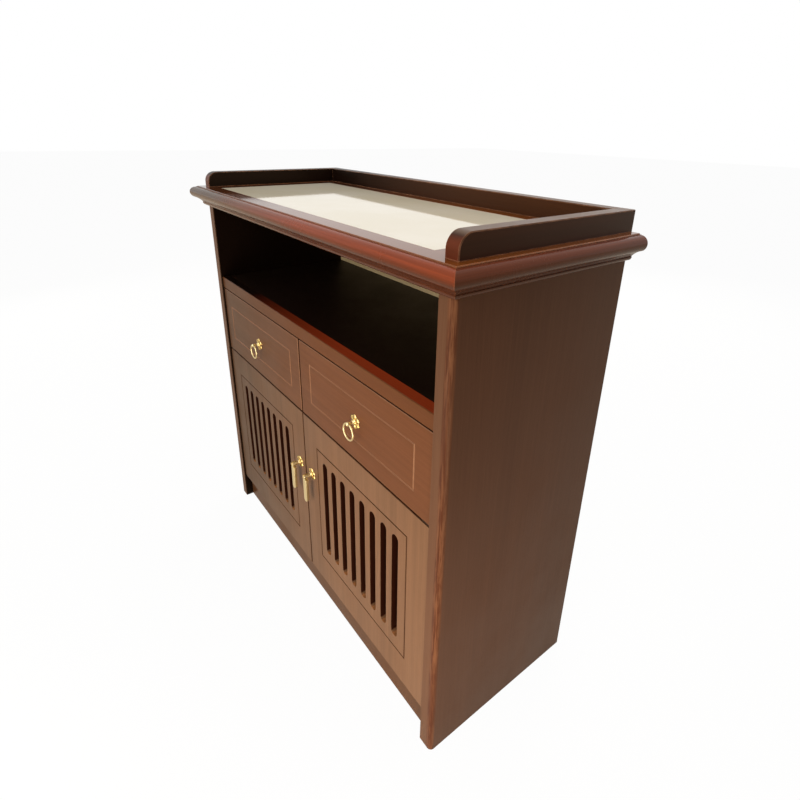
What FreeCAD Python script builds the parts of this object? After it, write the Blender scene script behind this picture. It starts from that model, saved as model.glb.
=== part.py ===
import FreeCAD, Part
import Sketcher
import os
from math import cos, radians, sin, sqrt
from types import SimpleNamespace

# Tea cabinet. Millimetres, +Z up, the front faces -Y. The origin lies on the floor
# below the middle of the whole cabinet, top moulding included.

SIZES = {
    # carcass
    "body_width": 820, "body_depth": 328, "side_thickness": 28, "side_corner_radius": 8,
    "side_arris": 1.2, "foot_chamfer": 1, "board_thickness": 18, "rail_depth": 20,
    "kick_thickness": 16, "kick_setback": 14, "fit_gap": 0.3,
    # heights, from the floor up
    "kick_height": 66, "door_foot_gap": 2, "door_height": 372.5, "door_drawer_gap": 3,
    "drawer_front_height": 147.5,
    "rail_gap": 2, "rail_height": 25, "niche_height": 160, "moulding_height": 40,
    # fronts
    "front_recess": 4, "front_thickness": 18, "front_side_gap": 2, "door_middle_gap": 3,
    "drawer_middle_gap": 5, "board_setback": 4, "front_arris": 0.8,
    "groove_width": 3, "groove_depth": 1.3, "groove_slope": 45,
    "drawer_groove_side": 38, "drawer_groove_end": 36,
    "door_groove_side": 50, "door_groove_top": 53, "door_groove_foot": 62,
    # door slots
    "slot_count": 8, "slot_pitch": 31.5, "slot_width": 16.5, "slot_foot_margin": 87, "slot_head_margin": 71,
    # back panel
    "back_thickness": 5, "back_inset": 5, "rebate_width": 9,
    # top
    "top_thickness": 25, "top_overhang": 15, "top_arris": 1.2, "panel_thickness": 5,
    "panel_side_border": 55, "panel_front_border": 30, "panel_back_border": 50, "panel_gap": 0.4,
    "top_rail_thickness": 15, "top_rail_width": 60,
    # moulding section, measured out from the side and down from the top face
    "nose_radius": 11.5, "nose_centre_out": 17, "nose_centre_drop": 13.5, "quirk_width": 1.4,
    "quirk_drop": 2.6, "nose_arris_drop": 1.6, "nose_lip": 0.6, "cove_top_drop": 23, "cove_out": 23.4,
    "cove_foot_out": 8, "cove_foot_drop": 33.6, "cove_sag": 1.5, "bead_out": 8.8,
    "bead_drop": 34.4, "bead_foot_out": 2, "bead_bulge": 2, "nose_end_angle": 50,
    # gallery
    "gallery_height": 30.5, "gallery_thickness": 22.5, "gallery_corner_radius": 20, "gallery_overhang": 2,
    "gallery_arris": 1,
    # flat dowels and screws
    "dowel_thickness": 6, "dowel_width": 24, "dowel_length": 30, "dowel_margin": 45, "peg_fit": 0.05,
    "screw_radius": 1.75, "screw_head_radius": 3.5, "screw_length": 16,
    # loose shelf in the cupboard
    "shelf_thickness": 15, "shelf_level": 245, "shelf_front_gap": 25, "shelf_side_gap": 1,
    "pin_radius": 2.5, "pin_length": 18, "pin_hole_depth": 10, "pin_margin": 60,
    # drawer boxes and runners
    "box_depth": 270, "box_height": 120, "box_lift": 6, "box_side_thickness": 12,
    "box_bottom_thickness": 4, "box_bottom_lift": 10, "box_groove_depth": 6, "groove_fit": 0.15,
    "runner_gap": 12.7, "runner_height": 35, "runner_length": 262, "runner_sheet": 1.2,
    "runner_channel_depth": 10.5, "runner_play": 0.4, "runner_lift": 42, "drawer_travel": 200,
    # ring pulls
    "rosette_thickness": 2.6, "petal_count": 6, "petal_radius": 5, "petal_orbit": 8.2,
    "petal_top_radius": 4.1, "petal_top_orbit": 7.2,
    "rosette_dome_radius": 5.6, "rosette_dome_height": 1.6, "eye_reach": 13, "eye_radius": 3.8,
    "eye_width": 5, "eye_stem_radius": 2.2, "eye_hole_radius": 2, "ring_radius": 15.9,
    "ring_wire_radius": 1.6, "ring_pull_drop": 2, "stud_radius": 2, "nut_radius": 4, "nut_height": 3,
    "nut_sides": 6,
    # drop-bar pulls
    "post_reach": 19, "post_radius": 4.4, "post_slot_width": 3.4, "post_slot_length": 10,
    "post_pin_radius": 1.3, "post_pin_inset": 4.6, "bar_length": 58, "bar_width": 12,
    "bar_thickness": 6, "bar_neck_width": 3, "bar_neck_length": 6.4, "bar_edge": 0.9,
    "bar_pull_offset": 25.5, "bar_pull_drop": 125,
    # pivot hinges
    "pivot_inset": 7, "pivot_depth": 5, "pivot_pin_radius": 2.5, "pivot_fit": 0.05,
    "pivot_pin_length": 12, "bracket_sheet": 1.5, "bracket_width": 20, "bracket_leg": 9,
    # magnetic catch
    "catch_width": 44, "catch_height": 13, "catch_depth": 26, "catch_gap": 0.4,
    "strike_width": 16, "strike_height": 12, "strike_thickness": 1.2, "magnet_radius": 4.5,
    "magnet_height": 0.8,
}

doc = FreeCAD.newDocument("tea_cabinet")
sheet = doc.addObject("Spreadsheet::Sheet", "Sizes")
for row, (alias, value) in enumerate(SIZES.items(), start=1):
    sheet.set(f"A{row}", alias)
    sheet.set(f"B{row}", str(value))
    sheet.setAlias(f"B{row}", alias)
doc.recompute()
size = SimpleNamespace(**{alias: sheet.get(alias) for alias in SIZES})

# Levels and planes that several pieces share
front_y = (size.nose_centre_out + size.nose_radius - size.body_depth) / 2
back_y = front_y + size.body_depth
half_body = size.body_width / 2
inner_x = half_body - size.side_thickness
fronts_y = front_y + size.front_recess
fronts_back_y = fronts_y + size.front_thickness
boards_y = fronts_back_y + size.board_setback
kick_y = fronts_y + size.kick_setback
panel_back_y = back_y - size.back_inset
boards_back_y = panel_back_y - size.back_thickness
door_foot = size.kick_height + size.door_foot_gap
door_head = door_foot + size.door_height
drawer_foot = door_head + size.door_drawer_gap
drawer_head = drawer_foot + size.drawer_front_height
rail_foot = drawer_head + size.rail_gap
shelf_top = rail_foot + size.rail_height
moulding_foot = shelf_top + size.niche_height
top_face = moulding_foot + size.moulding_height
top_under = top_face - size.top_thickness
divider_foot = door_head + (size.door_drawer_gap - size.board_thickness) / 2
divider_top = divider_foot + size.board_thickness
gallery_face = half_body + size.gallery_overhang

INNER_WIDTH = "Sizes.body_width - 2 * Sizes.side_thickness"
BOARD_DEPTH = (
    "Sizes.body_depth - Sizes.front_recess - Sizes.front_thickness - Sizes.board_setback"
    " - Sizes.back_inset - Sizes.back_thickness"
)
ABOVE_KICK = (
    "(Sizes.door_foot_gap + Sizes.door_height + Sizes.door_drawer_gap + Sizes.drawer_front_height"
    " + Sizes.rail_gap + Sizes.rail_height + Sizes.niche_height + Sizes.moulding_height"
    " - Sizes.top_thickness)"
)
MOULDING_REACH = "Sizes.nose_centre_out + Sizes.nose_radius"

UP = FreeCAD.Vector(0, 0, 1)
RIGHT = FreeCAD.Vector(1, 0, 0)
BACKWARD = FreeCAD.Vector(0, 1, 0)
kept = {}


# Small helpers: every one binds the sizes of what it adds to the sheet


def vector(x, y, z=0):
    return FreeCAD.Vector(x, y, z)


def bind(item, **texts):
    for prop, text in texts.items():
        item.setExpression(prop, text)


def keep(item, label):
    item.Label = label
    kept[label] = item
    return item


def box(name, corner, length, width, height):
    item = doc.addObject("Part::Box", name)
    bind(item, Length=length, Width=width, Height=height)
    item.Placement.Base = vector(*corner)
    return item


def turned(direction):
    return FreeCAD.Rotation(UP, direction)


def cylinder(name, start, direction, radius, height):
    item = doc.addObject("Part::Cylinder", name)
    bind(item, Radius=radius, Height=height)
    item.Placement = FreeCAD.Placement(vector(*start), turned(direction))
    return item


def cone(name, start, direction, foot_radius, tip_radius, height):
    item = doc.addObject("Part::Cone", name)
    bind(item, Radius1=foot_radius, Radius2=tip_radius, Height=height)
    item.Placement = FreeCAD.Placement(vector(*start), turned(direction))
    return item


def group(name, members):
    item = doc.addObject("Part::Compound", name)
    item.Links = members
    return item


def fuse(name, members):
    item = doc.addObject("Part::MultiFuse", name)
    item.Shapes = members
    item.Refine = True
    return item


def cut(name, base, tools):
    item = doc.addObject("Part::Cut", name)
    item.Base = base
    item.Tool = tools[0] if len(tools) == 1 else group(name + "_tools", tools)
    return item


def plane(body, role):
    return next(item for item in body.Origin.OriginFeatures if item.Role == role)


def new_sketch(body, name, role, offset=(0, 0, 0)):
    sketch = body.newObject("Sketcher::SketchObject", name)
    sketch.AttachmentSupport = (plane(body, role), [""])
    sketch.MapMode = "FlatFace"
    sketch.AttachmentOffset = FreeCAD.Placement(vector(*offset), FreeCAD.Rotation())
    return sketch


def rectangle(sketch, width, height):
    """A rectangle with its lower left corner at the sketch's origin."""
    corners = [vector(0, 0), vector(1, 0), vector(1, 1), vector(0, 1)]
    sides = [
        sketch.addGeometry(Part.LineSegment(corners[i], corners[(i + 1) % 4])) for i in range(4)
    ]
    for here, after in zip(sides, sides[1:] + sides[:1]):
        sketch.addConstraint(Sketcher.Constraint("Coincident", here, 2, after, 1))
    for side, way in zip(sides, ("Horizontal", "Vertical", "Horizontal", "Vertical")):
        sketch.addConstraint(Sketcher.Constraint(way, side))
    sketch.addConstraint(Sketcher.Constraint("Coincident", sides[0], 1, -1, 1))
    across = sketch.addConstraint(Sketcher.Constraint("DistanceX", sides[0], 1, sides[0], 2, 1))
    sketch.setExpression(f"Constraints[{across}]", width)
    along = sketch.addConstraint(Sketcher.Constraint("DistanceY", sides[1], 1, sides[1], 2, 1))
    sketch.setExpression(f"Constraints[{along}]", height)


def outline(sketch, steps):
    """A closed outline. A step is a point, or a pair: the middle and the end of an arc."""
    start = steps[0]
    here = start
    closed = isinstance(steps[-1], tuple) and (steps[-1][1] - start).Length < size.fit_gap
    for step in steps[1:] if closed else steps[1:] + [start]:
        if isinstance(step, tuple):
            middle, end = step
            sketch.addGeometry(Part.Arc(here, middle, end))
        else:
            end = step
            sketch.addGeometry(Part.LineSegment(here, end))
        here = end


def pad(body, name, sketch, length, backwards=False):
    item = body.newObject("PartDesign::Pad", name)
    item.Profile = sketch
    bind(item, Length=length)
    item.Reversed = backwards
    return item


def pocket(body, name, sketch, length=None, backwards=False):
    """A pocket of the given depth, or right through both ways without one."""
    item = body.newObject("PartDesign::Pocket", name)
    item.Profile = sketch
    item.Reversed = backwards
    if length is None:
        item.Type = "ThroughAll"
        item.Midplane = True
    else:
        bind(item, Length=length)
    return item


def edges_where(feature, test):
    """The names of a feature's straight edges whose two end points pass the test."""
    doc.recompute()
    names = []
    for number, edge in enumerate(feature.Shape.Edges, start=1):
        ends = [vertex.Point for vertex in edge.Vertexes]
        if len(ends) == 2 and isinstance(edge.Curve, Part.Line) and test(*ends):
            names.append(f"Edge{number}")
    return names


def dress(body, kind, name, feature, names, **texts):
    item = body.newObject("PartDesign::" + kind, name)
    item.Base = (feature, names)
    bind(item, **texts)
    return item


def upright(one, two):
    return abs(one.z - two.z) > max(abs(one.x - two.x), abs(one.y - two.y))


def near(one, two):
    return abs(one - two) < size.fit_gap / 2


# Dowels, screws and pins: each place is used for the peg and for both of its holes


def dowel_places():
    """The middle of every flat dowel, whether it stands upright, and its two boards."""
    depths = (boards_y + size.dowel_margin, boards_back_y - size.dowel_margin)
    rows = (
        ("bottom_board", size.kick_height + size.board_thickness / 2, depths),
        ("divider_board", (divider_foot + divider_top) / 2, depths),
        ("shelf_board", shelf_top - size.board_thickness / 2, depths),
        ("top_rail_front", moulding_foot + size.top_rail_thickness / 2, (front_y + size.top_rail_width / 2,)),
        ("top_rail_back", moulding_foot + size.top_rail_thickness / 2,
         (boards_back_y - size.top_rail_width / 2,)),
        ("kickboard", size.kick_height / 2, (kick_y + size.kick_thickness / 2,)),
    )
    return [
        (vector(side * inner_x, y, level), board == "kickboard", board, panel)
        for board, level, ways in rows for y in ways
        for side, panel in ((-1, "side_panel_left"), (1, "side_panel_right"))
    ]


def flat_dowel(name, middle, stands, fit=0, end_fit=0, fit_text="", end_text=""):
    """A flat dowel, or with a fit the mortise that takes it."""
    deep, tall = ("dowel_thickness", "dowel_width") if stands else ("dowel_width", "dowel_thickness")
    corner = middle - vector(
        size.dowel_length / 2 + end_fit, getattr(size, deep) / 2 + fit, getattr(size, tall) / 2 + fit
    )
    return box(
        name, corner, "Sizes.dowel_length" + end_text, f"Sizes.{deep}{fit_text}", f"Sizes.{tall}{fit_text}"
    )


def dowel_holes(board):
    """The mortises of one board, a little longer and wider than its dowels."""
    return [
        flat_dowel(
            f"{board}_mortise_{number}", middle, stands, size.peg_fit, size.fit_gap,
            " + 2 * Sizes.peg_fit", " + 2 * Sizes.fit_gap",
        )
        for number, (middle, stands, *boards) in enumerate(dowel_places()) if board in boards
    ]


def make_dowels():
    dowels = [
        flat_dowel(f"dowel_{number}", middle, stands)
        for number, (middle, stands, *_) in enumerate(dowel_places())
    ]
    keep(group("dowels", dowels), "dowels")


def pin_level():
    return size.shelf_level - size.pin_radius


def pin_columns():
    return (boards_y + size.shelf_front_gap + size.pin_margin, boards_back_y - size.pin_margin)


def screw_places():
    """The middle of the head of each screw that holds a hinge bracket to the edge of a board."""
    rise = (size.bracket_sheet + size.bracket_leg) / 2
    return [
        vector(side * bracket_middle(), boards_y - size.bracket_sheet, bracket_foot(end) + rise)
        for side in (-1, 1) for end in ("foot", "head")
    ]


def screw(name, place, grow=""):
    """A countersunk wood screw whose head is as deep as the bracket's sheet."""
    head = cone(
        name + "_head", place, BACKWARD, "Sizes.screw_head_radius" + grow, "Sizes.screw_radius" + grow,
        "Sizes.bracket_sheet",
    )
    shank = cylinder(name + "_shank", place, BACKWARD, "Sizes.screw_radius" + grow, "Sizes.screw_length")
    return fuse(name, [head, shank])


def make_screws():
    screws = [screw(f"screw_{number}", place) for number, place in enumerate(screw_places())]
    keep(group("wood_screws", screws), "wood_screws")


def screw_bores(board, foot, top):
    """The plain bores for the screws that enter a board between two levels."""
    return [
        cylinder(
            f"{board}_screw_bore_{number}", place, BACKWARD, "Sizes.screw_radius + Sizes.peg_fit",
            "Sizes.screw_length",
        )
        for number, place in enumerate(screw_places()) if foot < place.z < top
    ]


# Carcass


def make_side_panel(side, label):
    """A side board that reaches the floor: its outer front edge is rounded, its back rebated."""
    body = doc.addObject("PartDesign::Body", label + "_body")
    left = 0 if side > 0 else -size.side_thickness
    section = new_sketch(body, label + "_section", "XY_Plane", (left, 0, 0))
    rectangle(section, "Sizes.side_thickness", "Sizes.body_depth")
    blank = pad(body, label + "_blank", section, "Sizes.kick_height + " + ABOVE_KICK)
    outer = side * size.side_thickness
    front_edges = edges_where(
        blank, lambda a, b: upright(a, b) and near(a.x, outer) and near(a.y, 0)
    )
    rounded = dress(body, "Fillet", label + "_round", blank, front_edges, Radius="Sizes.side_corner_radius")
    inner_edges = edges_where(
        rounded, lambda a, b: upright(a, b) and near(a.x, 0) and near(a.y, 0)
    )
    eased = dress(body, "Chamfer", label + "_arris", rounded, inner_edges, Size="Sizes.side_arris")
    foot_edges = edges_where(
        eased, lambda a, b: near(a.z, 0) and near(b.z, 0) and near(a.x, outer) and near(b.x, outer)
    )
    dress(body, "Chamfer", label + "_foot", eased, foot_edges, Size="Sizes.foot_chamfer")
    rebate_left = 0 if side > 0 else -size.rebate_width
    rebate = new_sketch(
        body, label + "_rebate_section", "XY_Plane", (rebate_left, boards_back_y - front_y, size.kick_height)
    )
    rectangle(rebate, "Sizes.rebate_width", "Sizes.back_thickness + Sizes.back_inset")
    pocket(body, label + "_rebate", rebate, ABOVE_KICK + " + Sizes.top_thickness", backwards=True)
    body.Placement.Base = vector(side * inner_x, front_y, 0)
    pin_holes = [
        cylinder(
            f"{label}_pin_hole_{column}", (side * inner_x, y, pin_level()), RIGHT * side,
            "Sizes.pin_radius + Sizes.peg_fit", "Sizes.pin_hole_depth",
        )
        for column, y in enumerate(pin_columns())
    ]
    keep(cut(label, body, pin_holes + dowel_holes(label)), label)


def make_boards():
    """The flat boards between the sides."""
    left = -inner_x
    bottom = box(
        "bottom_board_blank", (left, boards_y, size.kick_height), INNER_WIDTH, BOARD_DEPTH,
        "Sizes.board_thickness",
    )
    holes = dowel_holes("bottom_board")
    holes += screw_bores("bottom_board", size.kick_height, size.kick_height + size.board_thickness)
    keep(cut("bottom_board", bottom, holes), "bottom_board")
    divider = box(
        "divider_blank", (left, boards_y, divider_foot), INNER_WIDTH, BOARD_DEPTH,
        "Sizes.board_thickness",
    )
    holes = dowel_holes("divider_board") + screw_bores("divider_board", divider_foot, divider_top)
    keep(cut("divider_board", divider, holes), "divider_board")
    shelf = box(
        "shelf_blank", (left, fronts_y + size.rail_depth, shelf_top - size.board_thickness),
        INNER_WIDTH,
        "Sizes.body_depth - Sizes.front_recess - Sizes.rail_depth - Sizes.back_inset"
        " - Sizes.back_thickness", "Sizes.board_thickness",
    )
    keep(cut("shelf_board", shelf, dowel_holes("shelf_board")), "shelf_board")
    kick = box("kick_blank", (left, kick_y, 0), INNER_WIDTH, "Sizes.kick_thickness", "Sizes.kick_height")
    keep(cut("kickboard", kick, dowel_holes("kickboard")), "kickboard")


def make_shelf_rail():
    """The lipping along the front of the niche shelf, flush with the drawer fronts."""
    body = doc.addObject("PartDesign::Body", "shelf_rail")
    section = new_sketch(body, "shelf_rail_section", "YZ_Plane")
    rectangle(section, "Sizes.rail_depth", "Sizes.rail_height")
    blank = pad(body, "shelf_rail_blank", section, INNER_WIDTH)
    edges = edges_where(blank, lambda a, b: near(a.y, 0) and near(b.y, 0) and near(a.z, b.z))
    dress(body, "Chamfer", "shelf_rail_arris", blank, edges, Size="Sizes.side_arris")
    body.Placement.Base = vector(-inner_x, fronts_y, rail_foot)
    keep(body, "shelf_rail")


def make_partition():
    """The upright board between the two drawers, from the divider to the niche shelf."""
    height = (
        "Sizes.drawer_front_height + Sizes.rail_gap + Sizes.rail_height"
        " + (Sizes.door_drawer_gap - 3 * Sizes.board_thickness) / 2"
    )
    partition = box(
        "drawer_partition", (-size.board_thickness / 2, boards_y, divider_top),
        "Sizes.board_thickness", BOARD_DEPTH, height,
    )
    keep(partition, "drawer_partition")


def make_top_rails():
    """Two flat rails under the top board: one at the front of the niche, one at its back."""
    for label, y in (
        ("top_rail_front", front_y),
        ("top_rail_back", boards_back_y - size.top_rail_width),
    ):
        blank = box(
            label + "_blank", (-inner_x, y, moulding_foot), INNER_WIDTH, "Sizes.top_rail_width",
            "Sizes.top_rail_thickness",
        )
        keep(cut(label, blank, dowel_holes(label)), label)


def make_back_panel():
    panel = box(
        "back_panel",
        (-inner_x - size.rebate_width + size.fit_gap, boards_back_y, size.kick_height + size.fit_gap),
        INNER_WIDTH + " + 2 * Sizes.rebate_width - 2 * Sizes.fit_gap", "Sizes.back_thickness",
        ABOVE_KICK + " - 2 * Sizes.fit_gap",
    )
    keep(panel, "back_panel")


# Top: veneered board with a let-in panel, mitred moulding round it and gallery on it


def panel_corner():
    return vector(-half_body + size.panel_side_border, front_y - size.top_overhang + size.panel_front_border)


PANEL_WIDTH = "Sizes.body_width - 2 * Sizes.panel_side_border"
PANEL_DEPTH = (
    "Sizes.body_depth + Sizes.top_overhang - Sizes.panel_front_border - Sizes.panel_back_border"
)


def make_top_board():
    body = doc.addObject("PartDesign::Body", "top_board")
    plan = new_sketch(body, "top_board_plan", "XY_Plane")
    rectangle(plan, "Sizes.body_width + 2 * Sizes.top_overhang", "Sizes.body_depth + Sizes.top_overhang")
    blank = pad(body, "top_board_blank", plan, "Sizes.top_thickness")
    width = size.body_width + 2 * size.top_overhang
    arris = edges_where(
        blank,
        lambda a, b: near(a.z, size.top_thickness) and near(b.z, size.top_thickness)
        and (near(a.y + b.y, 0) or near(a.x + b.x, 0) or near(a.x + b.x, 2 * width)),
    )
    dress(body, "Chamfer", "top_board_arris", blank, arris, Size="Sizes.top_arris")
    corner = panel_corner()
    start = vector(-half_body - size.top_overhang, front_y - size.top_overhang, top_under)
    recess = new_sketch(
        body, "recess_plan", "XY_Plane", (corner.x - start.x, corner.y - start.y, size.top_thickness)
    )
    rectangle(recess, PANEL_WIDTH, PANEL_DEPTH)
    pocket(body, "recess", recess, "Sizes.panel_thickness")
    body.Placement.Base = start
    keep(body, "top_board")


def make_inset_panel():
    corner = panel_corner()
    panel = box(
        "inset_panel",
        (corner.x + size.panel_gap, corner.y + size.panel_gap, top_face - size.panel_thickness),
        PANEL_WIDTH + " - 2 * Sizes.panel_gap", PANEL_DEPTH + " - 2 * Sizes.panel_gap",
        "Sizes.panel_thickness",
    )
    keep(panel, "inset_panel")


def moulding_outline():
    """Points of the moulding's section: x is out from the side, y is up from the top face."""
    centre = vector(size.nose_centre_out, -size.nose_centre_drop)

    def on_nose(angle):
        return centre + vector(cos(radians(angle)), sin(radians(angle))) * size.nose_radius

    quirk_out = size.top_overhang + size.quirk_width
    nose_end = on_nose(-size.nose_end_angle)
    nose_start = on_nose(90)
    cove_top = vector(size.cove_out, -size.cove_top_drop)
    cove_foot = vector(size.cove_foot_out, -size.cove_foot_drop)
    slope = (cove_top - cove_foot).normalize()
    cove_middle = (cove_top + cove_foot) / 2 + vector(-slope.y, slope.x) * size.cove_sag
    bead_top = vector(size.bead_out, -size.bead_drop)
    bead_foot = vector(size.bead_foot_out, -size.moulding_height)
    fall = (bead_top - bead_foot).normalize()
    bead_middle = (bead_top + bead_foot) / 2 + vector(fall.y, -fall.x) * size.bead_bulge
    return [
        vector(0, -size.moulding_height),
        bead_foot,
        (bead_middle, bead_top),
        cove_foot,
        (cove_middle, cove_top),
        nose_end,
        (on_nose(0), nose_start),
        vector(nose_start.x, nose_start.y + size.nose_lip),
        vector(quirk_out, nose_start.y + size.nose_lip),
        vector(quirk_out, -size.quirk_drop - size.nose_arris_drop),
        vector(size.top_overhang, -size.quirk_drop - size.nose_arris_drop),
        vector(size.top_overhang, -size.top_thickness),
        vector(0, -size.top_thickness),
    ]


def make_moulding(label, length, reach_ends, turn, corner):
    """A length of moulding along local X, mitred at the ends that reach_ends names."""
    body = doc.addObject("PartDesign::Body", label)
    section = new_sketch(body, label + "_section", "YZ_Plane")
    outline(section, moulding_outline())
    run = pad(body, label + "_run", section, length)
    doc.recompute()
    reach = size.nose_centre_out + size.nose_radius
    run_length = run.Length.Value
    spare = reach
    for number, end in enumerate(reach_ends):
        mitre = new_sketch(body, f"{label}_mitre_{number}_plan", "XY_Plane")
        tip = 0 if end == "start" else run_length
        way = 1 if end == "start" else -1
        outline(
            mitre,
            [
                vector(tip + way * (reach + spare), -spare),
                vector(tip - way * spare, reach + spare),
                vector(tip - way * spare, -spare),
            ],
        )
        pocket(body, f"{label}_mitre_{number}", mitre)
    body.Placement = FreeCAD.Placement(vector(*corner), FreeCAD.Rotation(UP, turn))
    keep(body, label)


def make_mouldings():
    """Front and two sides. Each section looks outward along local +Y."""
    reach = size.nose_centre_out + size.nose_radius
    make_moulding(
        "moulding_front", f"Sizes.body_width + 2 * ({MOULDING_REACH})", ("start", "end"), 180,
        (half_body + reach, front_y, top_face),
    )
    make_moulding(
        "moulding_left", f"Sizes.body_depth + {MOULDING_REACH}", ("start",), 90,
        (-half_body, front_y - reach, top_face),
    )
    make_moulding(
        "moulding_right", f"Sizes.body_depth + {MOULDING_REACH}", ("end",), -90,
        (half_body, back_y, top_face),
    )


def make_gallery_side(label, x):
    """A side rail of the gallery, with a large rounded corner at the top of its front end."""
    body = doc.addObject("PartDesign::Body", label)
    face = new_sketch(body, label + "_face", "YZ_Plane")
    rectangle(face, "Sizes.body_depth", "Sizes.gallery_height")
    blank = pad(body, label + "_blank", face, "Sizes.gallery_thickness")
    corner = edges_where(
        blank,
        lambda a, b: near(a.y, 0) and near(b.y, 0)
        and near(a.z, size.gallery_height) and near(b.z, size.gallery_height),
    )
    rounded = dress(
        body, "Fillet", label + "_corner", blank, corner, Radius="Sizes.gallery_corner_radius"
    )
    top = edges_where(
        rounded, lambda a, b: near(a.z, size.gallery_height) and near(b.z, size.gallery_height)
        and near(a.x, b.x),
    )
    dress(body, "Chamfer", label + "_arris", rounded, top, Size="Sizes.gallery_arris")
    body.Placement.Base = vector(x, front_y, top_face)
    keep(body, label)


def make_gallery():
    make_gallery_side("gallery_left", -gallery_face)
    make_gallery_side("gallery_right", gallery_face - size.gallery_thickness)
    back = doc.addObject("PartDesign::Body", "gallery_back")
    face = new_sketch(back, "gallery_back_face", "YZ_Plane")
    rectangle(face, "Sizes.gallery_thickness", "Sizes.gallery_height")
    blank = pad(
        back, "gallery_back_blank", face,
        "Sizes.body_width + 2 * Sizes.gallery_overhang - 2 * Sizes.gallery_thickness",
    )
    top = edges_where(
        blank, lambda a, b: near(a.z, size.gallery_height) and near(b.z, size.gallery_height)
        and near(a.y, b.y),
    )
    dress(back, "Chamfer", "gallery_back_arris", blank, top, Size="Sizes.gallery_arris")
    back.Placement.Base = vector(
        -gallery_face + size.gallery_thickness, back_y - size.gallery_thickness, top_face
    )
    keep(back, "gallery_back")


# Loose shelf of the cupboard


def make_cupboard_shelf():
    shelf = box(
        "cupboard_shelf",
        (-inner_x + size.shelf_side_gap, boards_y + size.shelf_front_gap, size.shelf_level),
        INNER_WIDTH + " - 2 * Sizes.shelf_side_gap", BOARD_DEPTH + " - Sizes.shelf_front_gap",
        "Sizes.shelf_thickness",
    )
    keep(shelf, "cupboard_shelf")
    pins = [
        cylinder(
            f"shelf_pin_{side}_{column}",
            (side * (inner_x + size.pin_hole_depth), y, pin_level()),
            RIGHT * -side, "Sizes.pin_radius", "Sizes.pin_length",
        )
        for side in (-1, 1) for column, y in enumerate(pin_columns())
    ]
    keep(group("shelf_pins", pins), "shelf_pins")


# Fronts: slabs with a fine V groove, the doors with a row of slots


def front_slab(name, width, height, groove, depth="Sizes.front_thickness"):
    """A slab whose front face lies at local y = 0, with a V groove in a rectangle."""
    left, right, foot, head = groove
    body = doc.addObject("PartDesign::Body", name)
    face = new_sketch(body, name + "_face", "XZ_Plane")
    rectangle(face, width, height)
    slab = pad(body, name + "_slab", face, depth, backwards=True)
    rim = edges_where(slab, lambda a, b: near(a.y, 0) and near(b.y, 0))
    dress(body, "Chamfer", name + "_arris", slab, rim, Size="Sizes.front_arris")
    half = size.groove_width / 2
    outer = new_sketch(
        body, name + "_groove_outer", "XZ_Plane", (getattr(size, left) - half, getattr(size, foot) - half, 0)
    )
    across = f"{width} - Sizes.{left} - Sizes.{right}"
    along = f"{height} - Sizes.{foot} - Sizes.{head}"
    rectangle(outer, f"{across} + Sizes.groove_width", f"{along} + Sizes.groove_width")
    sunk = pocket(body, name + "_groove_sink", outer, "Sizes.groove_depth")
    bind(sunk, TaperAngle="-Sizes.groove_slope")
    inner = new_sketch(
        body, name + "_groove_inner", "XZ_Plane",
        (getattr(size, left) + half - size.groove_depth, getattr(size, foot) + half - size.groove_depth,
         -size.groove_depth),
    )
    rectangle(
        inner, f"{across} - Sizes.groove_width + 2 * Sizes.groove_depth",
        f"{along} - Sizes.groove_width + 2 * Sizes.groove_depth",
    )
    field = pad(body, name + "_groove_field", inner, "Sizes.groove_depth")
    bind(field, TaperAngle="-Sizes.groove_slope")
    return body


DOOR_WIDTH = (
    "(Sizes.body_width / 2 - Sizes.side_thickness - Sizes.front_side_gap - Sizes.door_middle_gap / 2)"
)
DRAWER_WIDTH = (
    "(Sizes.body_width / 2 - Sizes.side_thickness - Sizes.front_side_gap - Sizes.drawer_middle_gap / 2)"
)


def pivot_x():
    return inner_x - size.front_side_gap - size.pivot_inset


def pivot_y():
    return fronts_y + size.pivot_depth


def make_door(side, name):
    """A door slab: V groove, eight slots and the two bores for its pivot pins."""
    groove = ("door_groove_side", "door_groove_side", "door_groove_foot", "door_groove_top")
    body = front_slab(name + "_slab", DOOR_WIDTH, "Sizes.door_height", groove)
    width = inner_x - size.front_side_gap - size.door_middle_gap / 2
    slots_run = (size.slot_count - 1) * size.slot_pitch
    first = (width - slots_run) / 2
    radius = size.slot_width / 2
    foot = size.slot_foot_margin + radius
    head = size.door_height - size.slot_head_margin - radius
    slot = new_sketch(body, name + "_slot_outline", "XZ_Plane", (first, 0, 0))
    outline(
        slot,
        [
            vector(-radius, foot),
            (vector(0, foot - radius), vector(radius, foot)),
            vector(radius, head),
            (vector(0, head + radius), vector(-radius, head)),
        ],
    )
    opening = pocket(body, name + "_slot", slot)
    row = body.newObject("PartDesign::LinearPattern", name + "_slot_row")
    row.Originals = [opening]
    row.Direction = (slot, ["H_Axis"])
    bind(row, Length="(Sizes.slot_count - 1) * Sizes.slot_pitch", Occurrences="Sizes.slot_count")
    body.Tip = row
    left = size.door_middle_gap / 2 if side > 0 else -size.door_middle_gap / 2 - width
    body.Placement.Base = vector(left, fronts_y, door_foot)
    bores = [
        cylinder(
            f"{name}_pivot_bore_{end}", (side * pivot_x(), pivot_y(), z), UP * way,
            "Sizes.pivot_pin_radius + Sizes.pivot_fit", "Sizes.pivot_pin_length + Sizes.fit_gap",
        )
        for end, z, way in (("foot", door_foot, 1), ("head", door_head, -1))
    ]
    bores.append(stud_bore(name, (side * size.bar_pull_offset, bar_pull_z())))
    keep(cut(name + "_panel", body, bores), name + "_panel")


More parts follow.
